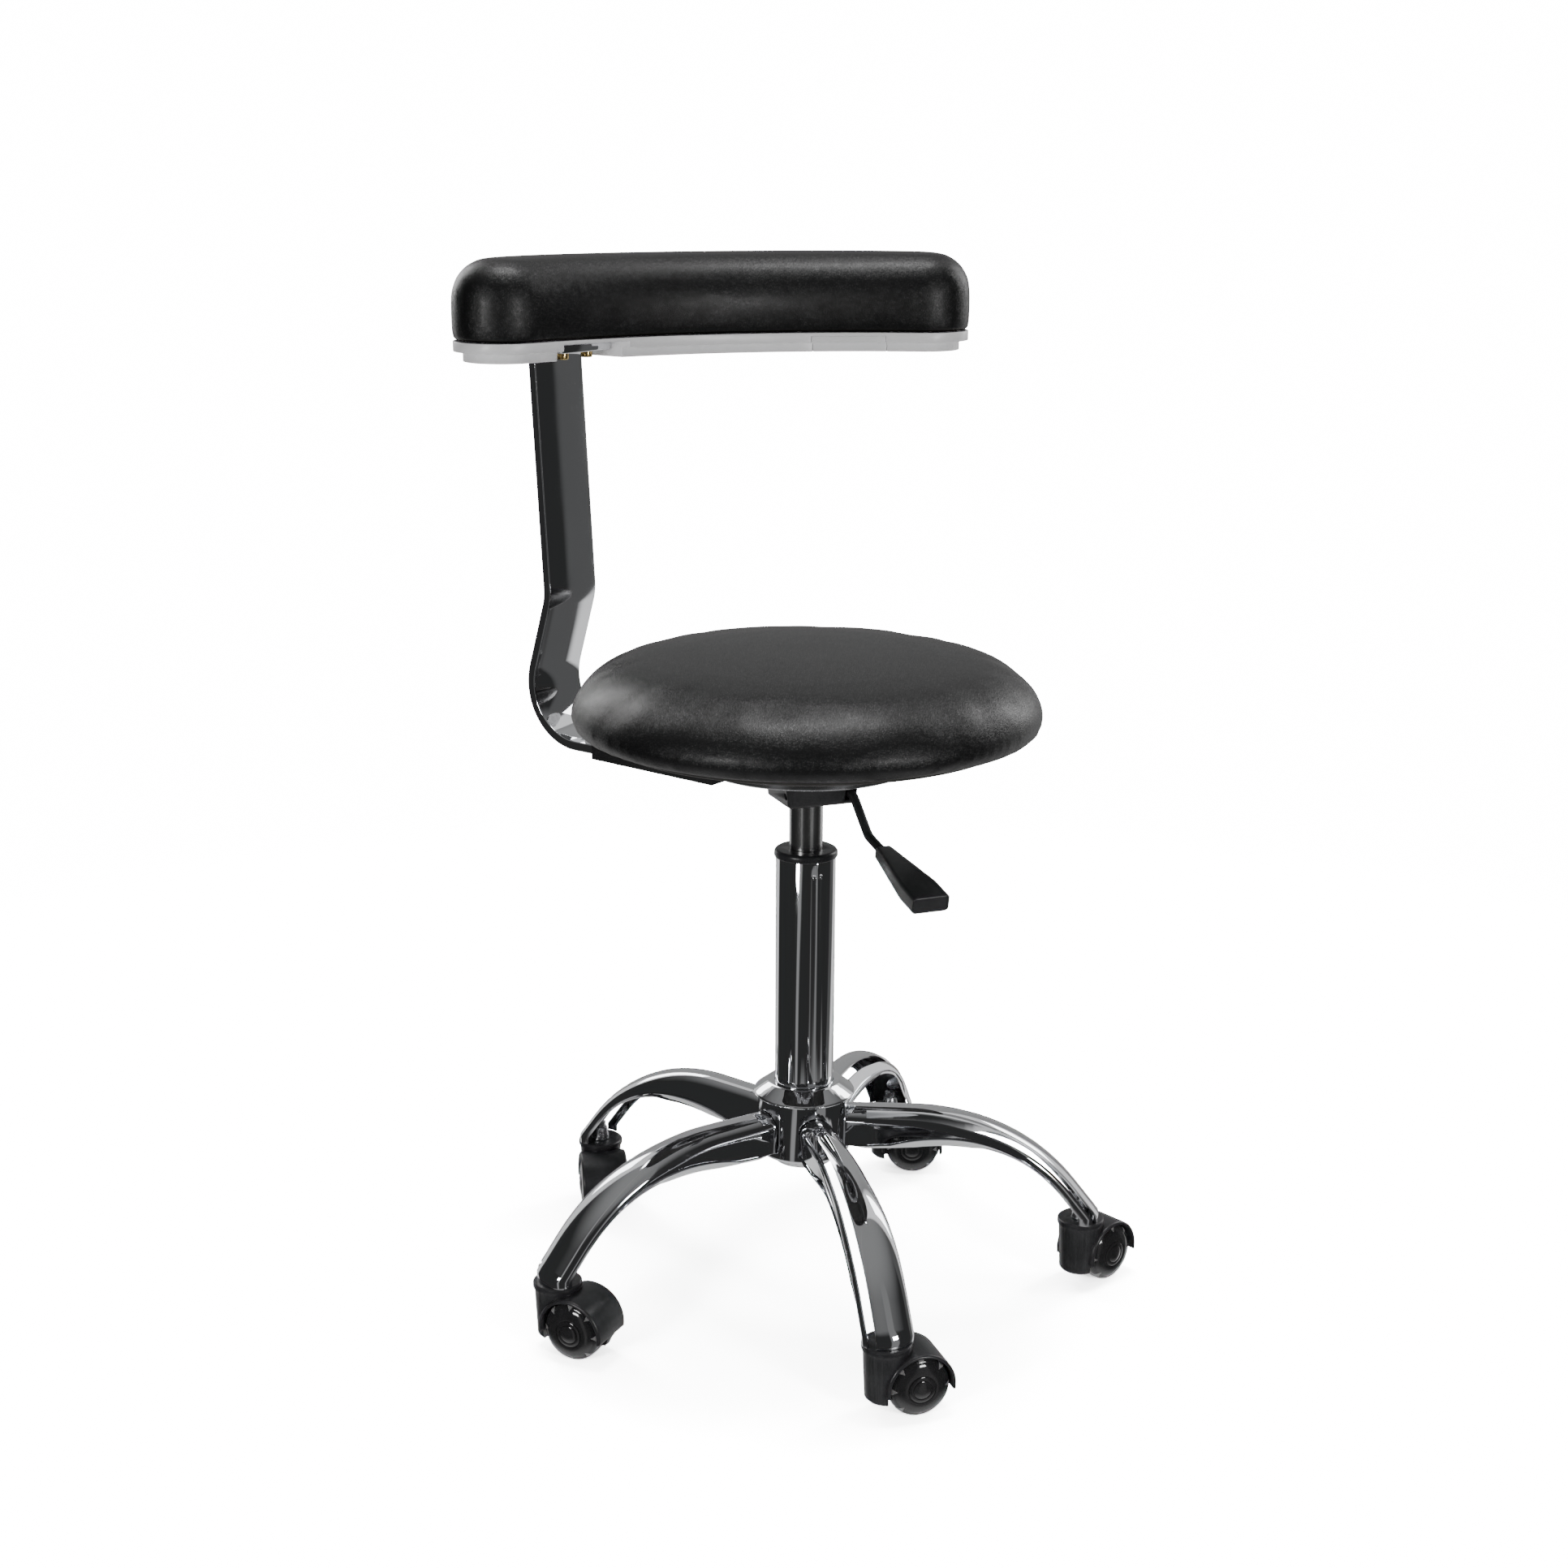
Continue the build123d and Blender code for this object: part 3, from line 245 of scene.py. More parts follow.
# %% Grain: the skin of a moulded or sprayed surface
moulded, come, go = group_of(
    "moulded grain", [("Vector", VECTOR, None), ("Scale", NUMBER, 900.0)], ["Height"]
)
place, size = come.outputs["Vector"], come.outputs["Scale"]
fine = noise(moulded, place, size, 2.0)
coarse = noise(moulded, place, maths(moulded, "MULTIPLY", size, 0.22), 1.0)
both = maths(moulded, "ADD", fine, maths(moulded, "MULTIPLY", coarse, 0.8))
moulded.links.new(both, go.inputs["Height"])
print("shared effects:", [tree.name for tree in bpy.data.node_groups])

# %% [markdown]
# ## Finishes
# Each finish is one Principled shader. A helper lays out what all of them need: the
# object's own coordinates, a gloss that runs between two roughness values under the
# smudges and scratches, and an optional bump. What makes a finish itself, such as
# the cells of the vinyl, is added after it.


# %% A finish from its colour, gloss and grain
def place_group(material, tree, **inputs):
    """Put a shared effect into a material and set its inputs."""
    node = material.node_tree.nodes.new("ShaderNodeGroup")
    node.node_tree = tree
    for socket, value in inputs.items():
        feed(material.node_tree, node.inputs[socket], value)
    return node.outputs[0]


def finish(name, colour, gloss, metal=0.0, smudge=9.0, scratch=60.0, tint=0.12, **fixed):
    """A material with uneven gloss, and the handles needed to add more to it."""
    material = bpy.data.materials.new(name)
    material.use_nodes = True
    tree = material.node_tree
    shader = tree.nodes["Principled BSDF"]
    here = tree.nodes.new("ShaderNodeTexCoord").outputs["Object"]
    soft = place_group(material, smudges, Vector=here, Scale=smudge)
    worn = place_group(material, hairlines, Vector=here, Scale=scratch)
    low, high = gloss
    rough = ramp(tree, soft, 0.0, 1.0, low, (low + high) / 2)
    worse = maths(tree, "MULTIPLY", worn, (high - low) / 2)
    tree.links.new(maths(tree, "ADD", rough, worse), shader.inputs["Roughness"])
    mix = tree.nodes.new("ShaderNodeMix")
    mix.data_type = "RGBA"
    mix.inputs[6].default_value = (*colour, 1)
    mix.inputs[7].default_value = (*[c * (1 - tint) for c in colour], 1)
    tree.links.new(soft, mix.inputs[0])
    tree.links.new(mix.outputs[2], shader.inputs["Base Color"])
    shader.inputs["Metallic"].default_value = metal
    for socket, value in fixed.items():
        shader.inputs[socket.replace("_", " ")].default_value = value
    return material, tree, shader, here, mix


def bumped(tree, shader, height, strength, distance):
    """Feed a height into the shader as small relief."""
    bump = tree.nodes.new("ShaderNodeBump")
    bump.inputs["Strength"].default_value = strength
    bump.inputs["Distance"].default_value = distance
    feed(tree, bump.inputs["Height"], height)
    tree.links.new(bump.outputs["Normal"], shader.inputs["Normal"])


# %% Chrome plate
chrome, tree, shader, here, _ = finish(
    "chrome plate", (0.80, 0.81, 0.83), (0.035, 0.16), metal=1.0, smudge=7.0, scratch=70.0, tint=0.05
)
ripple = noise(tree, here, 16.0, 1.0)
bumped(tree, shader, ripple, 0.25, 0.0006)

# %% Zinc plate, with its faint mottled spangle
zinc, tree, shader, here, _ = finish(
    "zinc plate", (0.60, 0.61, 0.63), (0.24, 0.45), metal=1.0, smudge=40.0, scratch=160.0, tint=0.25
)
bumped(tree, shader, place_group(zinc, moulded, Vector=here, Scale=1300.0), 0.12, 0.0002)

# %% Turned cylinder: fine rings round it from the lathe
turned, tree, shader, here, _ = finish(
    "turned steel", (0.56, 0.56, 0.56), (0.20, 0.36), metal=1.0, smudge=22.0, tint=0.18
)
rings = noise(tree, stretched(tree, here, 6, 6, 1600), 1.0, 2.0)
bumped(tree, shader, rings, 0.35, 0.0002)

# %% Dull plated disc
dull, tree, shader, here, _ = finish(
    "dull plated steel", (0.36, 0.36, 0.37), (0.26, 0.48), metal=1.0, smudge=18.0, tint=0.3
)
bumped(tree, shader, place_group(dull, moulded, Vector=here, Scale=900.0), 0.15, 0.0002)

# %% Satin black powder coat
powder, tree, shader, here, _ = finish(
    "satin powder coat", (0.018, 0.018, 0.019), (0.32, 0.50), smudge=14.0, tint=-0.5
)
bumped(tree, shader, place_group(powder, moulded, Vector=here, Scale=700.0), 0.35, 0.0003)

# %% Black nylon, faintly grained
nylon, tree, shader, here, _ = finish(
    "black nylon", (0.022, 0.022, 0.024), (0.30, 0.52), smudge=24.0, scratch=90.0, tint=-0.7
)
bumped(tree, shader, place_group(nylon, moulded, Vector=here, Scale=1500.0), 0.22, 0.0002)

# %% Wheel: glossy body and smoke tread, both crossed by the same pale wedges, painted light standing for the bright room seen through a clear tread
WEDGES = 8
WEDGE_TIP, WEDGE_SLOPE = 19.6, 0.62
WEDGE_FROM = (9.0, 9.6)


def wedged(name, colour, painted_see_through_colour, gloss, **fixed):
    """A wheel finish with pale wedges of painted see-through light that widen towards the rim."""
    material, tree, shader, here, mix = finish(name, colour, gloss, smudge=30.0, tint=-0.6, **fixed)
    local = tree.nodes.new("ShaderNodeAttribute")
    local.attribute_name = "wheel_place"
    split = tree.nodes.new("ShaderNodeSeparateXYZ")
    tree.links.new(local.outputs["Vector"], split.inputs[0])
    x, y = split.outputs["X"], split.outputs["Y"]
    squares = maths(tree, "ADD", maths(tree, "MULTIPLY", x, x), maths(tree, "MULTIPLY", y, y))
    radius = maths(tree, "SQRT", squares)
    turns = maths(tree, "MULTIPLY", maths(tree, "ARCTAN2", y, x), WEDGES / math.tau)
    off = maths(tree, "ABSOLUTE", maths(tree, "SUBTRACT", turns, maths(tree, "ROUND", turns, 0.0)))
    aside = maths(tree, "MULTIPLY", maths(tree, "MULTIPLY", off, math.tau / WEDGES), radius)
    allowed = maths(tree, "MULTIPLY", maths(tree, "SUBTRACT", radius, WEDGE_TIP), WEDGE_SLOPE)
    inside = ramp(tree, maths(tree, "SUBTRACT", allowed, aside), -0.15, 0.25)
    outward = ramp(tree, split.outputs["Z"], *WEDGE_FROM)
    inside = maths(tree, "MULTIPLY", inside, outward)
    # The pale wedge colour is painted light: the bright room behind, as if seen through the clear
    # tread between the core's ribs.
    over = tree.nodes.new("ShaderNodeMix")
    over.data_type = "RGBA"
    tree.links.new(inside, over.inputs[0])
    tree.links.new(mix.outputs[2], over.inputs[6])
    over.inputs[7].default_value = (*painted_see_through_colour, 1)
    tree.links.new(over.outputs[2], shader.inputs["Base Color"])
    return material


glossy = wedged(
    "glossy wheel", (0.018, 0.018, 0.019), (0.20, 0.20, 0.20), (0.06, 0.20),
    Coat_Weight=0.8, Coat_Roughness=0.05,
)
smoke = wedged(
    "smoke tread", (0.016, 0.016, 0.017), (0.26, 0.26, 0.26), (0.08, 0.24),
    Coat_Weight=0.6, Coat_Roughness=0.1,
)

# %% Light grey moulded tray
pale, tree, shader, here, _ = finish(
    "light grey moulding", (0.93, 0.93, 0.94), (0.30, 0.48), smudge=10.0, tint=0.06
)
bumped(tree, shader, place_group(pale, moulded, Vector=here, Scale=1200.0), 0.10, 0.0002)

# %% Yellow passivated screw
gold, *_ = finish(
    "yellow passivate", (0.72, 0.52, 0.20), (0.22, 0.42), metal=1.0, smudge=120.0, tint=0.35
)

# %% Stained plywood: thin plies that show at the rim
stained, tree, shader, here, _ = finish(
    "black stained plywood", (0.020, 0.019, 0.018), (0.42, 0.62), smudge=12.0, tint=-0.4
)
plies = noise(tree, stretched(tree, here, 5, 5, 520), 1.0, 2.0)
grain = noise(tree, stretched(tree, here, 8, 90, 60), 1.0, 3.0)
bumped(tree, shader, maths(tree, "ADD", plies, maths(tree, "MULTIPLY", grain, 0.6)), 0.5, 0.0004)
print("finishes:", len(bpy.data.materials))

# %% [markdown]
# ## Vinyl
# The cover is artificial leather: a near-black skin with a pebbled grain of cells
# about a millimetre across, and a slow wave where it is pulled over the foam. The
# cells come from a Voronoi texture whose coordinates a noise bends a little, so no
# row of cells runs straight. A weak coat gives the satin sheen.

# %% Pebbled vinyl
vinyl, tree, shader, here, _ = finish(
    "dark vinyl", (0.0055, 0.0055, 0.0058), (0.31, 0.39), smudge=5.0, scratch=40.0, tint=-0.5,
    Specular_IOR_Level=0.36, Coat_Weight=0.05, Coat_Roughness=0.30,
)
CELLS_PER_METRE, CELL_WANDER = 900.0, 0.0016
bent = tree.nodes.new("ShaderNodeVectorMath")
bent.operation = "MULTIPLY_ADD"
wander = tree.nodes.new("ShaderNodeTexNoise")
wander.inputs["Scale"].default_value = 240.0
tree.links.new(here, wander.inputs["Vector"])
tree.links.new(wander.outputs["Color"], bent.inputs[0])
bent.inputs[1].default_value = (CELL_WANDER,) * 3
tree.links.new(here, bent.inputs[2])
cells = tree.nodes.new("ShaderNodeTexVoronoi")
cells.feature = "DISTANCE_TO_EDGE"
cells.inputs["Scale"].default_value = CELLS_PER_METRE
tree.links.new(bent.outputs["Vector"], cells.inputs["Vector"])
pebble = ramp(tree, cells.outputs["Distance"], 0.0, 0.28)
pull = noise(tree, here, 30.0, 2.0, 0.5)
pebble, pull = maths(tree, "MULTIPLY", pebble, 0.35), maths(tree, "MULTIPLY", pull, 0.5)
relief = maths(tree, "ADD", pebble, pull)
bumped(tree, shader, relief, 0.40, 0.0006)
print("vinyl cells per metre:", CELLS_PER_METRE)

# %% [markdown]
# ## The machined pieces
# A CAD mesh has perfectly sharp edges, and nothing real has. Three live modifiers
# put that right without touching the mesh: Weld joins its loose triangles, Decimate
# melts flat faces together, and Bevel rounds each sharp edge by a fraction of a
# millimetre so that it catches the light.


# %% Soft edges and a finish for a CAD piece
WELD_GAP, FLAT_ANGLE, SHARP_ANGLE = 2e-5, math.radians(0.6), math.radians(32)


def dress(material, edge, *nodes, steps=2):
    """Give CAD nodes a finish and rounded edges of a width in millimetres."""
    for name in nodes:
        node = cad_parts[name]
        node.data.materials.clear()
        node.data.materials.append(material)
        node.data.polygons.foreach_set("use_smooth", [True] * len(node.data.polygons))
        weld = node.modifiers.new("Weld", "WELD")
        weld.merge_threshold = WELD_GAP
        melt = node.modifiers.new("Melt", "DECIMATE")
        melt.decimate_type = "DISSOLVE"
        melt.angle_limit = FLAT_ANGLE
        if edge:
            soften = node.modifiers.new("Edges", "BEVEL")
            soften.width = edge * MM
            soften.segments = steps
            soften.limit_method = "ANGLE"
            soften.angle_limit = SHARP_ANGLE
            soften.harden_normals = True


CASTERS = range(1, 6)
SIDES = ("left", "right")
dress(chrome, 0.6, "hub", "hub_collar")
dress(chrome, 0.25, "column_tube")
dress(zinc, 0.2, "caster_sockets", "caster_stems", "piston_rod", "column_clip")
dress(zinc, 0.25, "thrust_bearing", "seat_bolts")
dress(turned, 0.3, "gas_cylinder", "valve_pin")
dress(dull, 0.4, "swivel_disc")
dress(powder, 0.4, "lift_mechanism", "lever_rod")
dress(nylon, 0.3, "guide_bushing", "lever_paddle")
dress(pale, 2.2, "back_tray", steps=3)
dress(pale, 0.8, "tray_cover")
dress(gold, 0.3, "tray_screws")
for number in CASTERS:
    dress(nylon, 0.5, f"caster_{number}_hood")
    dress(zinc, 0.3, f"caster_{number}_axle")
print("dressed:", sum(bool(node.modifiers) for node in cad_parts.values()))

# %% [markdown]
# ## The legs
# Each leg is pressed from sheet: a deep narrow channel at the hub that turns broad
# and shallow as it bends down to the caster. By hand it is a half hoop, extruded
# outwards hoop by hoop, each new hoop a little wider and lower. The bend comes
# last: everything past a hoop is turned a few degrees about that hoop's crest.
# That keeps the crest a true arc, which a subdivided box would not.

# %% What the leg is made to
CREST = 160.0
LEG_ROOT = (29.0, 34.0)
LEG_TIP = (42.0, 14.0)
ROOT_REACH, FOOT_IN = 34.0, 0.94
HOOPS_BEFORE_BEND = [(54.0, 0.06), (75.0, 0.11)]
TIP_HOOP = 23.0
SHEET = 2.0
BEND_RADIUS = 178.0
BEND_ANGLE = math.radians(52.0)
BEND_START = 94.74
BEND_HOOPS = 20
RIM_TOP, RIM_DEEP = 66.0, 6.0
ARCH_POINTS = 21


def leg_size(share):
    """Width, crown and depth of the channel at a share of the way to its tip."""
    broad = min(1.0, share / 0.7)
    ease = broad * broad * (3 - 2 * broad)
    width, depth = (a + (b - a) * ease for a, b in zip(LEG_ROOT, LEG_TIP))
    return width, min(width / 2, 0.72 * depth), depth


# %% The first hoop: half a circle standing across the leg, with straight feet
start_clean()
bpy.ops.mesh.primitive_circle_add(
    vertices=2 * (ARCH_POINTS - 1), radius=1.0, rotation=(0, math.pi / 2, 0)
)
leg = named("leg_1_pressing")
done()
bpy.ops.object.transform_apply(rotation=True)
bpy.ops.object.mode_set(mode="EDIT")
pick("VERT", lambda v: v.co.z < -1e-4)
bpy.ops.mesh.delete(type="VERT")
width, crown, depth = leg_size(0.0)
bpy.ops.mesh.select_all(action="SELECT")
bpy.ops.transform.resize(value=(1, width / 2 * MM, crown * MM), center_override=(0, 0, 0))
bpy.ops.transform.translate(value=(ROOT_REACH * MM, 0, (CREST - crown) * MM))
pick("VERT", lambda v: v.co.z < (CREST - crown + 0.01) * MM)
extrude_by(0, 0, (crown - depth) * MM)
bpy.ops.transform.resize(value=(1, FOOT_IN, 1), center_override=(0, 0, 0))
HOOP = len(bmesh.from_edit_mesh(leg.data).verts)
print("hoop points:", HOOP)


# %% Hoop by hoop out along a straight channel
def next_hoop(reach, share, was):
    """Extrude the last hoop to a new reach and give it the channel's size there."""
    width, crown, depth = leg_size(share)
    count = len(bmesh.from_edit_mesh(leg.data).verts)
    pick("VERT", lambda v: v.index >= count - HOOP)
    extrude_by((reach - was[0]) * MM, 0, 0)
    ratio = (1, width / was[1], 1)
    bpy.ops.transform.resize(value=ratio, center_override=(0, 0, CREST * MM))
    feet = (CREST - was[3] + 0.01) * MM
    new = count - 0.5
    pick("VERT", lambda v: v.index > new and v.co.z > feet)
    bpy.ops.transform.resize(value=(1, 1, crown / was[2]), center_override=(0, 0, CREST * MM))
    pick("VERT", lambda v: v.index > new and v.co.z <= feet)
    bpy.ops.transform.translate(value=(0, 0, (was[3] - depth) * MM))
    return reach, width, crown, depth


bend_step = BEND_ANGLE / BEND_HOOPS
chord = 2 * BEND_RADIUS * math.sin(bend_step / 2)
hoops = list(HOOPS_BEFORE_BEND)
hoops += [(BEND_START + k * chord, 0.16 + 0.68 * k / BEND_HOOPS) for k in range(BEND_HOOPS + 1)]
hoops += [(hoops[-1][0] + TIP_HOOP, 0.93), (hoops[-1][0] + 2 * TIP_HOOP, 1.0)]
last = (ROOT_REACH, width, crown, depth)
for reach, share in hoops:
    last = next_hoop(reach, share, last)
print("hoops:", len(hoops) + 1)

# %% The bend, from the outermost hoop inwards
BEFORE_BEND = 1 + len(HOOPS_BEFORE_BEND)
for k in reversed(range(BEND_HOOPS + 1)):
    first = (BEFORE_BEND + k) * HOOP
    crest = ((BEND_START + k * chord) * MM, 0, CREST * MM)
    if k > 0:
        pick("VERT", lambda v: v.index >= first)
        turn(bend_step / 2, "Y", crest)
    if k < BEND_HOOPS:
        pick("VERT", lambda v: v.index >= first + HOOP)
        turn(bend_step / 2, "Y", crest)

# %% The tip: cut level, then an upright rim drawn down from the cut
bpy.ops.mesh.select_all(action="SELECT")
bpy.ops.mesh.bisect(plane_co=(0, 0, RIM_TOP * MM), plane_no=(0, 0, 1), clear_inner=True)
pick("EDGE", lambda e: all(abs(v.co.z - RIM_TOP * MM) < 1e-5 for v in e.verts))
extrude_by(0, 0, -RIM_DEEP * MM)
bpy.ops.mesh.select_all(action="SELECT")
bpy.ops.mesh.normals_make_consistent(inside=False)
shape = bmesh.from_edit_mesh(leg.data)
crest_faces = [f for f in shape.faces if f.calc_center_median().z > (CREST - 1) * MM]
if sum(f.normal.z for f in crest_faces) < 0:
    bpy.ops.mesh.flip_normals()
done()

# %% Sheet thickness, a softened edge, and one leg for each arm of the star
use(leg, "SOLIDIFY", thickness=SHEET * MM, offset=-1.0)
use(leg, "BEVEL", width=0.7 * MM, segments=3, limit_method="ANGLE", angle_limit=math.radians(45))
leg.data.materials.append(chrome)
LEG_PHASE = math.radians(47.3)
legs = [leg] + [copy_of(leg, f"leg_{k}_pressing") for k in range(2, 6)]
for k, piece in enumerate(legs):
    start_clean()
    bpy.context.view_layer.objects.active = piece
    piece.select_set(True)
    bpy.ops.object.mode_set(mode="EDIT")
    bpy.ops.mesh.select_all(action="SELECT")
    turn(LEG_PHASE + k * math.tau / 5, "Z", (0, 0, 0))
    done()
    rounded_look(piece, 40)
    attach(piece, "base")
    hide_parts(f"leg_{k + 1}")
print("leg triangles:", sum(len(p.vertices) - 2 for p in leg.data.polygons))

# %% [markdown]
# ## The backrest bar
# The bar is flat steel, bent four ways on a former. Its section is a small face,
# pushed straight with extrude and swung round each former with spin. The last face
# stays selected after every step, so the whole bar is one chain of moves.

# %% The bar's line, seen from its edge
BAR_AZIMUTH = math.radians(121.32 - 90.0)
BAR_SECTION = (60.0, 8.0)
BAR_LINE = [(98.0, 444.5), (296.0, 444.5), (257.0, 571.5), (270.0, 785.5), (233.0, 785.5)]
BAR_BENDS = [50.0, 45.0, 10.0]

bar = upright_section("back_bar_bent")
bpy.ops.transform.resize(value=(BAR_SECTION[0], 1, BAR_SECTION[1]), center_override=(0, 0, 0))
bpy.ops.transform.translate(value=(0, BAR_LINE[0][0] * MM, BAR_LINE[0][1] * MM))
place = Vector(BAR_LINE[0])
for corner, radius, beyond in zip(BAR_LINE[1:-1], BAR_BENDS, BAR_LINE[2:]):
    here_to, away = Vector(corner) - place, Vector(beyond) - Vector(corner)
    came, goes = here_to.normalized(), away.normalized()
    bend = came.angle_signed(goes)
    cut = radius * math.tan(abs(bend) / 2)
    start = Vector(corner) - came * cut
    extrude_by(0, (start.x - place.x) * MM, (start.y - place.y) * MM)
    side = -1 if bend > 0 else 1
    centre = start + Vector((-came.y, came.x)) * radius * side
    bpy.ops.mesh.spin(
        steps=max(8, int(abs(bend) * radius / 4)),
        angle=bend,
        center=(0, centre.x * MM, centre.y * MM),
        axis=(1, 0, 0),
    )
    place = Vector(corner) + goes * cut
extrude_by(0, (BAR_LINE[-1][0] - place.x) * MM, (BAR_LINE[-1][1] - place.y) * MM)

# %% Merged, turned to its place and its long edges eased
bpy.ops.mesh.select_all(action="SELECT")
bpy.ops.mesh.remove_doubles(threshold=1e-6)
bpy.ops.mesh.normals_make_consistent(inside=False)
turn(BAR_AZIMUTH, "Z", (0, 0, 0))
done()
use(bar, "BEVEL", width=1.2 * MM, segments=3, limit_method="ANGLE", angle_limit=math.radians(50))
bar.data.materials.append(chrome)
rounded_look(bar, 40)
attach(bar, "backrest")
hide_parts("back_bar")
low, high = (Vector(c) for c in (bar.bound_box[0], bar.bound_box[6]))

# %% [markdown]
# ## Board, bracket and wheels
# The seat board is dished so that only a thin rim shows below the cushion. The cast
# bracket hangs under the swivel disc, gets a little shallower away from the column
# and has three pockets below, with the heads of the clamp screws in two of them. A
# wheel has a domed glossy body, two raised cap rings and a tread. Round bodies could
# be spun from an outline, but drawing a circle up hoop by hoop needs no axis and
# leaves closed ends. One wheel is made, and copied to the ten places.

# %% Drawing a round body up hoop by hoop
def drawn_up(name, outline, sides):
    """A closed round body about Z from (radius, height) pairs in millimetres."""
    start_clean()
    radius, height = outline[0]
    bpy.ops.mesh.primitive_circle_add(vertices=sides, radius=radius * MM, fill_type="NGON")
    piece = named(name)
    bpy.ops.transform.translate(value=(0, 0, height * MM))
    for (was_radius, was_height), (radius, height) in zip(outline, outline[1:]):
        extrude_by(0, 0, (height - was_height) * MM)
        grow = radius / was_radius
        bpy.ops.transform.resize(value=(grow, grow, 1), center_override=(0, 0, 0))
    bpy.ops.mesh.select_all(action="SELECT")
    bpy.ops.mesh.normals_make_consistent(inside=False)
    done()
    return piece


# %% The dished seat board
board_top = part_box("seat_board")[1].z / MM
board_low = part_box("seat_board")[0].z / MM
BOARD_RIM, BOARD_RIM_DEPTH, BOARD_FLAT = 172.0, 4.4, 112.0
board = drawn_up(
    "seat_board_dished",
    [(BOARD_FLAT, board_low), (BOARD_RIM, board_top - BOARD_RIM_DEPTH), (BOARD_RIM, board_top)],
    128,
)
use(board, "BEVEL", width=1.0 * MM, segments=3, limit_method="ANGLE", angle_limit=math.radians(30))
board.data.materials.append(stained)
rounded_look(board, 40)
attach(board, "seat")
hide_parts("seat_board")

# %% The cast bracket: three cells long, a little shallower outwards, hollow below
BRACKET_WIDTH, BRACKET_FROM, BRACKET_TO = 70.0, 72.0, 205.0
BRACKET_TOP, BRACKET_DEEP, BRACKET_RISE = 460.5, 24.5, 1.5
CELLS, CELL_WALL, CELL_DEEP = 3, 3.0, 3.0
CELL_LONG = (BRACKET_TO - BRACKET_FROM) / CELLS
bracket = upright_section("bar_bracket_cast")
bpy.ops.transform.resize(value=(BRACKET_WIDTH, 1, BRACKET_DEEP), center_override=(0, 0, 0))
bpy.ops.transform.translate(value=(0, BRACKET_FROM * MM, (BRACKET_TOP - BRACKET_DEEP / 2) * MM))
for cell in range(CELLS):
    extrude_by(0, CELL_LONG * MM, 0)
bottom = BRACKET_TOP - BRACKET_DEEP
for cell in range(1, CELLS + 1):
    along = BRACKET_FROM + CELL_LONG * cell
    pick("VERT", lambda v: v.co.z < (bottom + 0.1) * MM and abs(v.co.y - along * MM) < 1e-5)
    bpy.ops.transform.translate(value=(0, 0, BRACKET_RISE / CELLS * cell * MM))
bpy.ops.mesh.select_all(action="SELECT")
bpy.ops.mesh.normals_make_consistent(inside=False)
print("cells:", pick("FACE", lambda f: f.normal.z < -0.9))
bpy.ops.mesh.inset(thickness=CELL_WALL * MM, use_individual=True)
extrude_by(0, 0, CELL_DEEP * MM)
bpy.ops.mesh.select_all(action="SELECT")
turn(BAR_AZIMUTH, "Z", (0, 0, 0))
done()
use(bracket, "BEVEL", width=1.0 * MM, segments=2, limit_method="ANGLE", angle_limit=math.radians(40))
bracket.data.materials.append(powder)
rounded_look(bracket, 35)
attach(bracket, "backrest")
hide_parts("bar_bracket")
print("bracket depth:", BRACKET_DEEP, "mm, rising", BRACKET_RISE)

# %% Two hexagon heads in the bracket's pockets, for the screws that clamp the bar
HEAD_RADIUS, HEAD_UNDER, HEAD_DEEP, HEAD_CHAMFER, HEAD_SUNK = 5.77, 5.2, 4.0, 0.6, 0.3
HEAD_PLACES = [(127.5, 440.0), (175.5, 440.4)]
heads = []
for number, (along, top) in enumerate(HEAD_PLACES, 1):
    low = top - HEAD_DEEP
    outline = [(HEAD_UNDER, low), (HEAD_RADIUS, low + HEAD_CHAMFER), (HEAD_RADIUS, top + HEAD_SUNK)]
    head = drawn_up(f"clamp_head_{number}", outline, 6)
    bpy.ops.object.mode_set(mode="EDIT")
    bpy.ops.mesh.select_all(action="SELECT")
    bpy.ops.transform.translate(value=(0, along * MM, 0))
    turn(BAR_AZIMUTH, "Z", (0, 0, 0))
    done()
    head.data.materials.append(zinc)
    heads.append(head)
start_clean()
for head in heads:
    head.select_set(True)
bpy.context.view_layer.objects.active = heads[0]
bpy.ops.object.join()
heads[0].name = heads[0].data.name = "clamp_heads"
rounded_look(heads[0], 30)
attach(heads[0], "backrest")
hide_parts("bar_bolts")
print("heads:", len(heads))

# %% One wheel: domed body with two cap rings, and its tread
BODY = [
    (3.3, 0.0), (21.8, 0.0), (21.8, 13.9), (20.4, 14.9), (18.2, 15.9), (15.2, 16.7), (12.2, 17.1),
    (11.7, 17.0), (11.5, 16.2), (11.0, 16.2), (10.8, 17.2), (10.3, 17.5), (8.1, 17.6), (7.9, 16.9),
    (7.5, 16.9), (7.3, 17.7), (6.8, 18.0), (2.5, 18.3), (0.5, 18.3),
]
TYRE = [
    (21.8, 0.0), (24.2, 0.0), (25.0, 1.0), (25.0, 8.6), (24.8, 10.3), (24.3, 11.8), (23.5, 12.9),
    (22.6, 13.6), (21.8, 14.0),
]
body_form = drawn_up("wheel_body", BODY, 64)
start_clean()
bpy.ops.mesh.primitive_circle_add(vertices=64, radius=TYRE[0][0] * MM, fill_type="NOTHING")
tyre_form = named("wheel_tyre")
for (was_r, was_s), (r, s) in zip(TYRE, TYRE[1:] + TYRE[:1]):
    extrude_by(0, 0, (s - was_s) * MM)
    bpy.ops.transform.resize(value=(r / was_r, r / was_r, 1), center_override=(0, 0, 0))
bpy.ops.mesh.select_all(action="SELECT")
bpy.ops.mesh.remove_doubles(threshold=1e-6)
bpy.ops.mesh.normals_make_consistent(inside=False)
done()
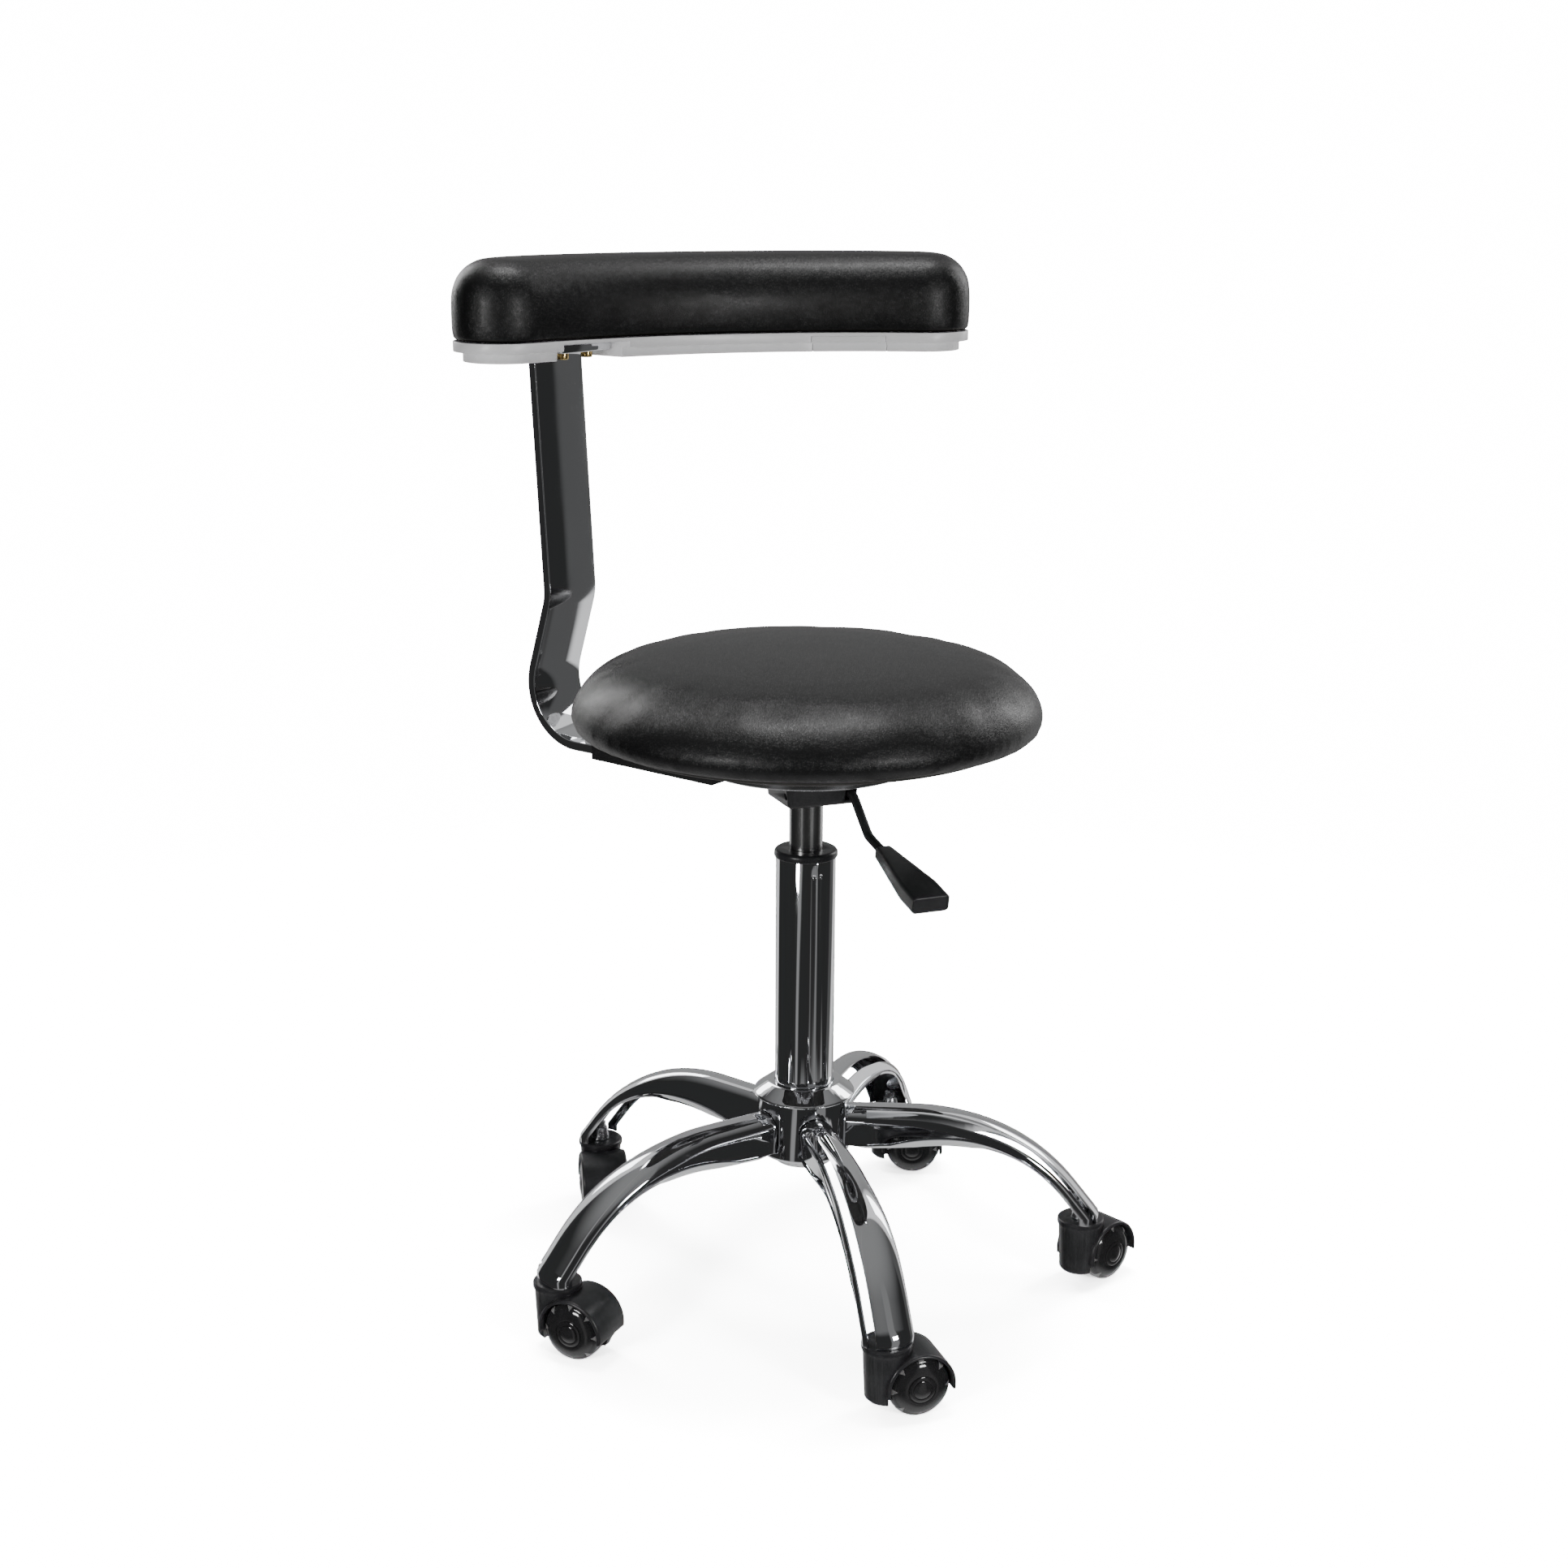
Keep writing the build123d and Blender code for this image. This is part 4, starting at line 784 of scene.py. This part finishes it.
for form in (body_form, tyre_form):
    place_note = form.data.attributes.new("wheel_place", "FLOAT_VECTOR", "POINT")
    spots = np.zeros(len(form.data.vertices) * 3, np.float32)
    form.data.vertices.foreach_get("co", spots)
    place_note.data.foreach_set("vector", spots / MM)
print("body and tyre points:", len(body_form.data.vertices), len(tyre_form.data.vertices))

# %% Ten wheels, each side of each caster, turned to its caster's heading
STEM_RADIUS, FIRST_LEG, TRAIL, WHEEL_HEIGHT, INNER_FACE = 240.0, 47.3, 22.0, 25.0, 4.0
HEADINGS = (-25.0, -102.0, -48.0, -3.0, 20.0)
for number, heading in zip(CASTERS, HEADINGS):
    leg_angle = math.radians(FIRST_LEG + 72 * (number - 1))
    stem = Vector((math.cos(leg_angle), math.sin(leg_angle), 0)) * STEM_RADIUS
    trail = Vector((math.cos(math.radians(heading)), math.sin(math.radians(heading)), 0))
    hub_place = (stem + trail * TRAIL + Vector((0, 0, WHEEL_HEIGHT))) * MM
    for side, hand in zip(SIDES, (1, -1)):
        outward = Vector((-trail.y, trail.x, 0)) * hand
        facing_out = outward.to_track_quat("Z", "X").to_matrix().to_4x4()
        pose = Matrix.Translation(hub_place + outward * INNER_FACE * MM) @ facing_out
        for form, part, material in ((body_form, "core", glossy), (tyre_form, "tread", smoke)):
            wheel = copy_of(form, f"wheel_{number}_{side}_{part}")
            wheel.data.transform(pose)
            wheel.data.materials.append(material)
            rounded_look(wheel, 40)
            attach(wheel, f"wheel_{number}_{side}")
            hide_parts(f"caster_{number}_{side}_{part}")
for form in (body_form, tyre_form):
    bpy.data.objects.remove(form)

# %% [markdown]
# ## The cushions
# A cushion gets its shape from what is inside it. So the foam is drawn first,
# skinned with an even mesh, and blown up by cloth simulation until the cover is
# tight. The underside is held where it sits on its board or tray, and no point may
# travel further than the foam lets it. Smoothing then draws the curves in, so the
# seat's foam is drawn a few millimetres too wide at its widest.


# %% Blowing a cover up over its foam
COVER_MESH, COVER_PRESSURE, COVER_STIFFNESS, COVER_STEPS = 5.0, 3.0, 18, 20


def stuffed(piece, held_below, travel, settle):
    """Skin the foam evenly, inflate it, and limit how far each point moves."""
    start_clean()
    bpy.context.view_layer.objects.active = piece
    piece.select_set(True)
    piece.data.remesh_voxel_size = COVER_MESH * MM
    bpy.ops.object.voxel_remesh()
    rest = np.zeros(len(piece.data.vertices) * 3, np.float32)
    piece.data.vertices.foreach_get("co", rest)
    rest = rest.reshape(-1, 3)
    held = piece.vertex_groups.new(name="held")
    below = [int(i) for i in np.flatnonzero(rest[:, 2] < held_below * MM)]
    held.add(below, 1.0, "REPLACE")
    cloth = piece.modifiers.new("Cloth", "CLOTH")
    cloth.settings.vertex_group_mass = held.name
    cloth.settings.use_pressure = True
    cloth.settings.uniform_pressure_force = COVER_PRESSURE
    cloth.settings.quality = 6
    cloth.settings.tension_stiffness = COVER_STIFFNESS
    cloth.settings.compression_stiffness = COVER_STIFFNESS
    cloth.settings.effector_weights.gravity = 0
    cloth.point_cache.frame_start = 1
    cloth.point_cache.frame_end = COVER_STEPS
    for step in range(1, COVER_STEPS + 1):
        bpy.context.scene.frame_set(step)
    bpy.ops.object.modifier_apply(modifier=cloth.name)
    bpy.context.scene.frame_set(1)
    blown = np.zeros(len(piece.data.vertices) * 3, np.float32)
    piece.data.vertices.foreach_get("co", blown)
    push = blown.reshape(-1, 3) - rest
    far = np.linalg.norm(push, axis=1, keepdims=True)
    push *= np.minimum(1.0, travel * MM / np.maximum(far, 1e-9))
    piece.data.vertices.foreach_set("co", (rest + push).astype(np.float32).ravel())
    print(piece.name, "points:", len(rest), "pushed:", round(float(far.max()) / MM, 1), "mm")
    use(piece, "SMOOTH", factor=0.5, iterations=settle, vertex_group="held", invert_vertex_group=True)
    piece.vertex_groups.clear()
    use(piece, "SUBSURF", levels=1, render_levels=1)


# %% The seat's foam: a disc drawn up hoop by hoop to a low dome
SEAT_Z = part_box("seat_cushion")[0].z / MM
SEAT_FOAM = [
    (171, 0.3), (187, 1.5), (194, 6), (195.5, 12), (193.5, 20), (188.5, 29), (181, 37.5),
    (170, 45), (155, 50.5), (135, 54), (105, 56.8), (70, 58.4), (35, 59.2),
]
seat = drawn_up("seat_cushion_cover", [(radius, SEAT_Z + rise) for radius, rise in SEAT_FOAM], 128)
stuffed(seat, SEAT_Z + 3.0, travel=2.5, settle=12)

# %% The seat's cover: finish and place
seat.data.materials.clear()
seat.data.materials.append(vinyl)
seat.data.polygons.foreach_set("use_smooth", [True] * len(seat.data.polygons))
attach(seat, "seat")
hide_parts("seat_cushion")
low, high = seat.bound_box[0], seat.bound_box[6]
print("seat box:", [round(x / MM, 1) for x in (*low, *high)])

# %% The back pad's foam: a rounded section spun along the arc, with round ends
pad_low, pad_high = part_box("back_cushion")
PAD_Z, PAD_TOP = pad_low.z / MM, pad_high.z / MM
PAD_RADIUS, PAD_HALF, PAD_THICK = 441.0, math.radians(26.0), 86.0
PAD_REACH = 248.5
PAD_CENTRE = PAD_REACH - PAD_RADIUS
SLACK, PAD_GAP = 1.0, 0.4
PAD_CROWN, PAD_FOOT = 33.0, 5.0


def rounded_block(bottom, top):
    """Round the selected block's top edges well and its bottom edges a little."""
    pick("EDGE", lambda e: all(abs(v.co.z - top * MM) < 1e-6 for v in e.verts))
    bpy.ops.mesh.bevel(offset=PAD_CROWN * MM, segments=8)
    pick("EDGE", lambda e: all(abs(v.co.z - bottom * MM) < 1e-6 for v in e.verts))
    bpy.ops.mesh.bevel(offset=PAD_FOOT * MM, segments=3)


low_z, high_z = PAD_Z + PAD_GAP, PAD_TOP - SLACK
pad = upright_section("back_cushion_cover")
thin = PAD_THICK - 2 * SLACK
bpy.ops.transform.resize(value=(thin, 1, high_z - low_z), center_override=(0, 0, 0))
bpy.ops.transform.translate(value=(0, 0, (low_z + high_z) / 2 * MM))
pick("VERT", lambda v: v.co.z > (high_z - 1) * MM)
bpy.ops.mesh.bevel(offset=PAD_CROWN * MM, segments=8, affect="VERTICES")
pick("VERT", lambda v: v.co.z < (low_z + 1) * MM)
bpy.ops.mesh.bevel(offset=PAD_FOOT * MM, segments=3, affect="VERTICES")
bpy.ops.mesh.select_all(action="SELECT")
bpy.ops.transform.translate(value=(PAD_RADIUS * MM, 0, 0))
turn(math.radians(90) - PAD_HALF, "Z", (0, 0, 0))
bpy.ops.transform.translate(value=(0, PAD_CENTRE * MM, 0))
bpy.ops.mesh.spin(steps=48, angle=-2 * PAD_HALF, center=(0, PAD_CENTRE * MM, 0), axis=(0, 0, 1))
bpy.ops.mesh.select_all(action="SELECT")
bpy.ops.mesh.remove_doubles(threshold=1e-6)
bpy.ops.mesh.normals_make_consistent(inside=False)
done()
print("arc points:", len(pad.data.vertices))

# %% The round ends, joined to the arc
ends = []
for hand in (-1, 1):
    angle = math.radians(90) + hand * PAD_HALF
    spot = (PAD_RADIUS * math.cos(angle) * MM, (PAD_CENTRE + PAD_RADIUS * math.sin(angle)) * MM)
    start_clean()
    bpy.ops.mesh.primitive_cylinder_add(
        vertices=64,
        radius=thin / 2 * MM,
        depth=(high_z - low_z) * MM,
        location=(*spot, (low_z + high_z) / 2 * MM),
    )
    end = named(f"pad_end_{hand}")
    done()
    bpy.ops.object.transform_apply(location=True)
    bpy.ops.object.mode_set(mode="EDIT")
    rounded_block(low_z, high_z)
    done()
    ends.append(end)
start_clean()
for piece in (*ends, pad):
    piece.select_set(True)
bpy.context.view_layer.objects.active = pad
bpy.ops.object.join()
stuffed(pad, PAD_Z + 2.5, travel=3.0, settle=14)

# %% The pad's cover: finish and place
pad.data.materials.clear()
pad.data.materials.append(vinyl)
pad.data.polygons.foreach_set("use_smooth", [True] * len(pad.data.polygons))
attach(pad, "backrest")
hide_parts("back_cushion")
low, high = pad.bound_box[0], pad.bound_box[6]
print("pad box:", [round(x / MM, 1) for x in (*low, *high)])

# %% [markdown]
# ## The studio
# Chrome shows its surroundings more than itself. The floor is a pale disc that
# fades out into a white room, and the room that the metal sees is dark, with a few
# bright upright strips and a bright floor, as black cards and soft boxes would give.
# Only rays straight from the camera see plain white.

# %% How bright the white is, and where the room's bright strips stand
WHITE_LEVEL = 16.0
TO_CAMERA = math.radians(-112.6)
ROOM_STRIPS = [(132, 12, 0.95), (108, 9, 0.10), (-140, 12, 0.85), (-29, 4, 0.30), (40, 9, 0.22)]

# %% A pale floor that fades into the room
FLOOR_RADIUS, FADE_FROM, FADE_TO, FLOOR_LIFT = 3.2, 0.45, 1.6, 1.25
start_clean()
bpy.ops.mesh.primitive_circle_add(vertices=96, radius=FLOOR_RADIUS, fill_type="NGON")
floor = named("studio_floor")
bpy.ops.mesh.inset(thickness=0.4)
done()
ground = bpy.data.materials.new("pale floor")
ground.use_nodes = True
tree = ground.node_tree
tree.nodes.clear()
seen, cast = tree.nodes.new("ShaderNodeBsdfDiffuse"), tree.nodes.new("ShaderNodeBsdfDiffuse")
seen.inputs["Color"].default_value = (WHITE_LEVEL * FLOOR_LIFT,) * 3 + (1,)
cast.inputs["Color"].default_value = (0.80, 0.80, 0.80, 1)
path = tree.nodes.new("ShaderNodeLightPath")
pick_one = tree.nodes.new("ShaderNodeMixShader")
tree.links.new(path.outputs["Is Camera Ray"], pick_one.inputs[0])
tree.links.new(cast.outputs[0], pick_one.inputs[1])
tree.links.new(seen.outputs[0], pick_one.inputs[2])
length = tree.nodes.new("ShaderNodeVectorMath")
length.operation = "LENGTH"
tree.links.new(tree.nodes.new("ShaderNodeTexCoord").outputs["Object"], length.inputs[0])
fade = tree.nodes.new("ShaderNodeMixShader")
tree.links.new(ramp(tree, length.outputs["Value"], FADE_FROM, FADE_TO), fade.inputs[0])
tree.links.new(pick_one.outputs[0], fade.inputs[1])
tree.links.new(tree.nodes.new("ShaderNodeBsdfTransparent").outputs[0], fade.inputs[2])
tree.links.new(fade.outputs[0], tree.nodes.new("ShaderNodeOutputMaterial").inputs["Surface"])
floor.data.materials.append(ground)
floor.visible_glossy = False

# %% The room: what the metal sees, by compass angle from the camera and by height
world = bpy.data.worlds.new("studio room")
bpy.context.scene.world = world
world.use_nodes = True
tree = world.node_tree
tree.nodes.clear()
split = tree.nodes.new("ShaderNodeSeparateXYZ")
tree.links.new(tree.nodes.new("ShaderNodeTexCoord").outputs["Generated"], split.inputs[0])
ray_x, ray_y, ray_z = (split.outputs[axis] for axis in "XYZ")
level = maths(tree, "SQRT", maths(tree, "SUBTRACT", 1.0, maths(tree, "MULTIPLY", ray_z, ray_z)))
level = maths(tree, "MAXIMUM", level, 1e-4)


def facing(angle):
    """Cosine between a ray's compass direction and one at an angle from the camera."""
    x, y = math.cos(TO_CAMERA + angle), math.sin(TO_CAMERA + angle)
    dot = maths(tree, "ADD", maths(tree, "MULTIPLY", ray_x, x), maths(tree, "MULTIPLY", ray_y, y))
    return maths(tree, "DIVIDE", dot, level)


def strip(angle, half_width, bright, soft=4.0):
    """A bright upright strip in the room."""
    edge, inside = (math.cos(math.radians(half_width + k)) for k in (soft, -soft / 2))
    return ramp(tree, facing(math.radians(angle)), edge, inside, 0.0, bright)


glow = ramp(tree, facing(math.pi), 0.55, 0.95, 0.03, 0.35)
for angle, half_width, bright in ROOM_STRIPS:
    glow = maths(tree, "MAXIMUM", glow, strip(angle, half_width, bright))
above = ramp(tree, ray_z, 0.35, 0.97, 0.0, 0.26)
below = ramp(tree, ray_z, -0.50, -0.85, 0.0, 0.75)
glow = maths(tree, "MAXIMUM", maths(tree, "MAXIMUM", glow, above), below)
room = tree.nodes.new("ShaderNodeBackground")
tree.links.new(glow, room.inputs["Color"])
room.inputs["Strength"].default_value = 1.0
white = tree.nodes.new("ShaderNodeBackground")
white.inputs["Color"].default_value = (1, 1, 1, 1)
white.inputs["Strength"].default_value = WHITE_LEVEL
either = tree.nodes.new("ShaderNodeMixShader")
tree.links.new(tree.nodes.new("ShaderNodeLightPath").outputs["Is Camera Ray"], either.inputs[0])
tree.links.new(room.outputs[0], either.inputs[1])
tree.links.new(white.outputs[0], either.inputs[2])
tree.links.new(either.outputs[0], tree.nodes.new("ShaderNodeOutputWorld").inputs["Surface"])


# %% Soft boxes, placed by compass angle from the camera, height angle and distance
STOOL_MIDDLE = Vector((0, 0, 0.45))


def soft_box(name, angle, rise, far, size, power):
    """A rectangular lamp that looks at the middle of the stool."""
    light = bpy.data.lights.new(name, "AREA")
    light.shape = "RECTANGLE"
    light.size, light.size_y = size
    light.energy = power
    lamp = bpy.data.objects.new(name, light)
    bpy.context.scene.collection.objects.link(lamp)
    turned_by, up = TO_CAMERA + math.radians(angle), math.radians(rise)
    level = math.cos(up)
    away = Vector((math.cos(turned_by) * level, math.sin(turned_by) * level, math.sin(up)))
    lamp.location = STOOL_MIDDLE + far * away
    lamp.rotation_mode = "QUATERNION"
    lamp.rotation_quaternion = (STOOL_MIDDLE - lamp.location).to_track_quat("-Z", "Y")
    lamp.visible_camera = False


soft_box("left box", -38, 9, 2.6, (0.55, 0.45), 23)
soft_box("right box", 40, 9, 2.6, (0.55, 0.45), 23)
soft_box("top box", 180, 84, 2.3, (1.2, 0.5), 30)
soft_box("back left box", -140, 25, 2.4, (0.5, 1.4), 14)
soft_box("back right box", 130, 25, 2.4, (0.5, 1.4), 14)
print("lamps:", len(bpy.data.lights))

# %% [markdown]
# ## The camera
# A normal lens stands back from the stool, a little higher than the backrest, and
# looks 15 degrees down. The stool sits slightly below the middle of the frame.

# %% Camera
camera = bpy.data.objects.new("view", bpy.data.cameras.new("view"))
bpy.context.scene.collection.objects.link(camera)
camera.data.sensor_width = 36.0
camera.data.lens = 53.7
camera.location = (-0.7146, -1.7192, 0.9516)
pitch, heading, roll = math.radians(15.3), math.radians(22.0), math.radians(0.32)
level = math.cos(pitch)
ahead = Vector((math.sin(heading) * level, math.cos(heading) * level, -math.sin(pitch)))
camera.rotation_mode = "QUATERNION"
camera.rotation_quaternion = ahead.to_track_quat("-Z", "Y") @ Quaternion((0, 0, 1), roll)
bpy.context.scene.camera = camera
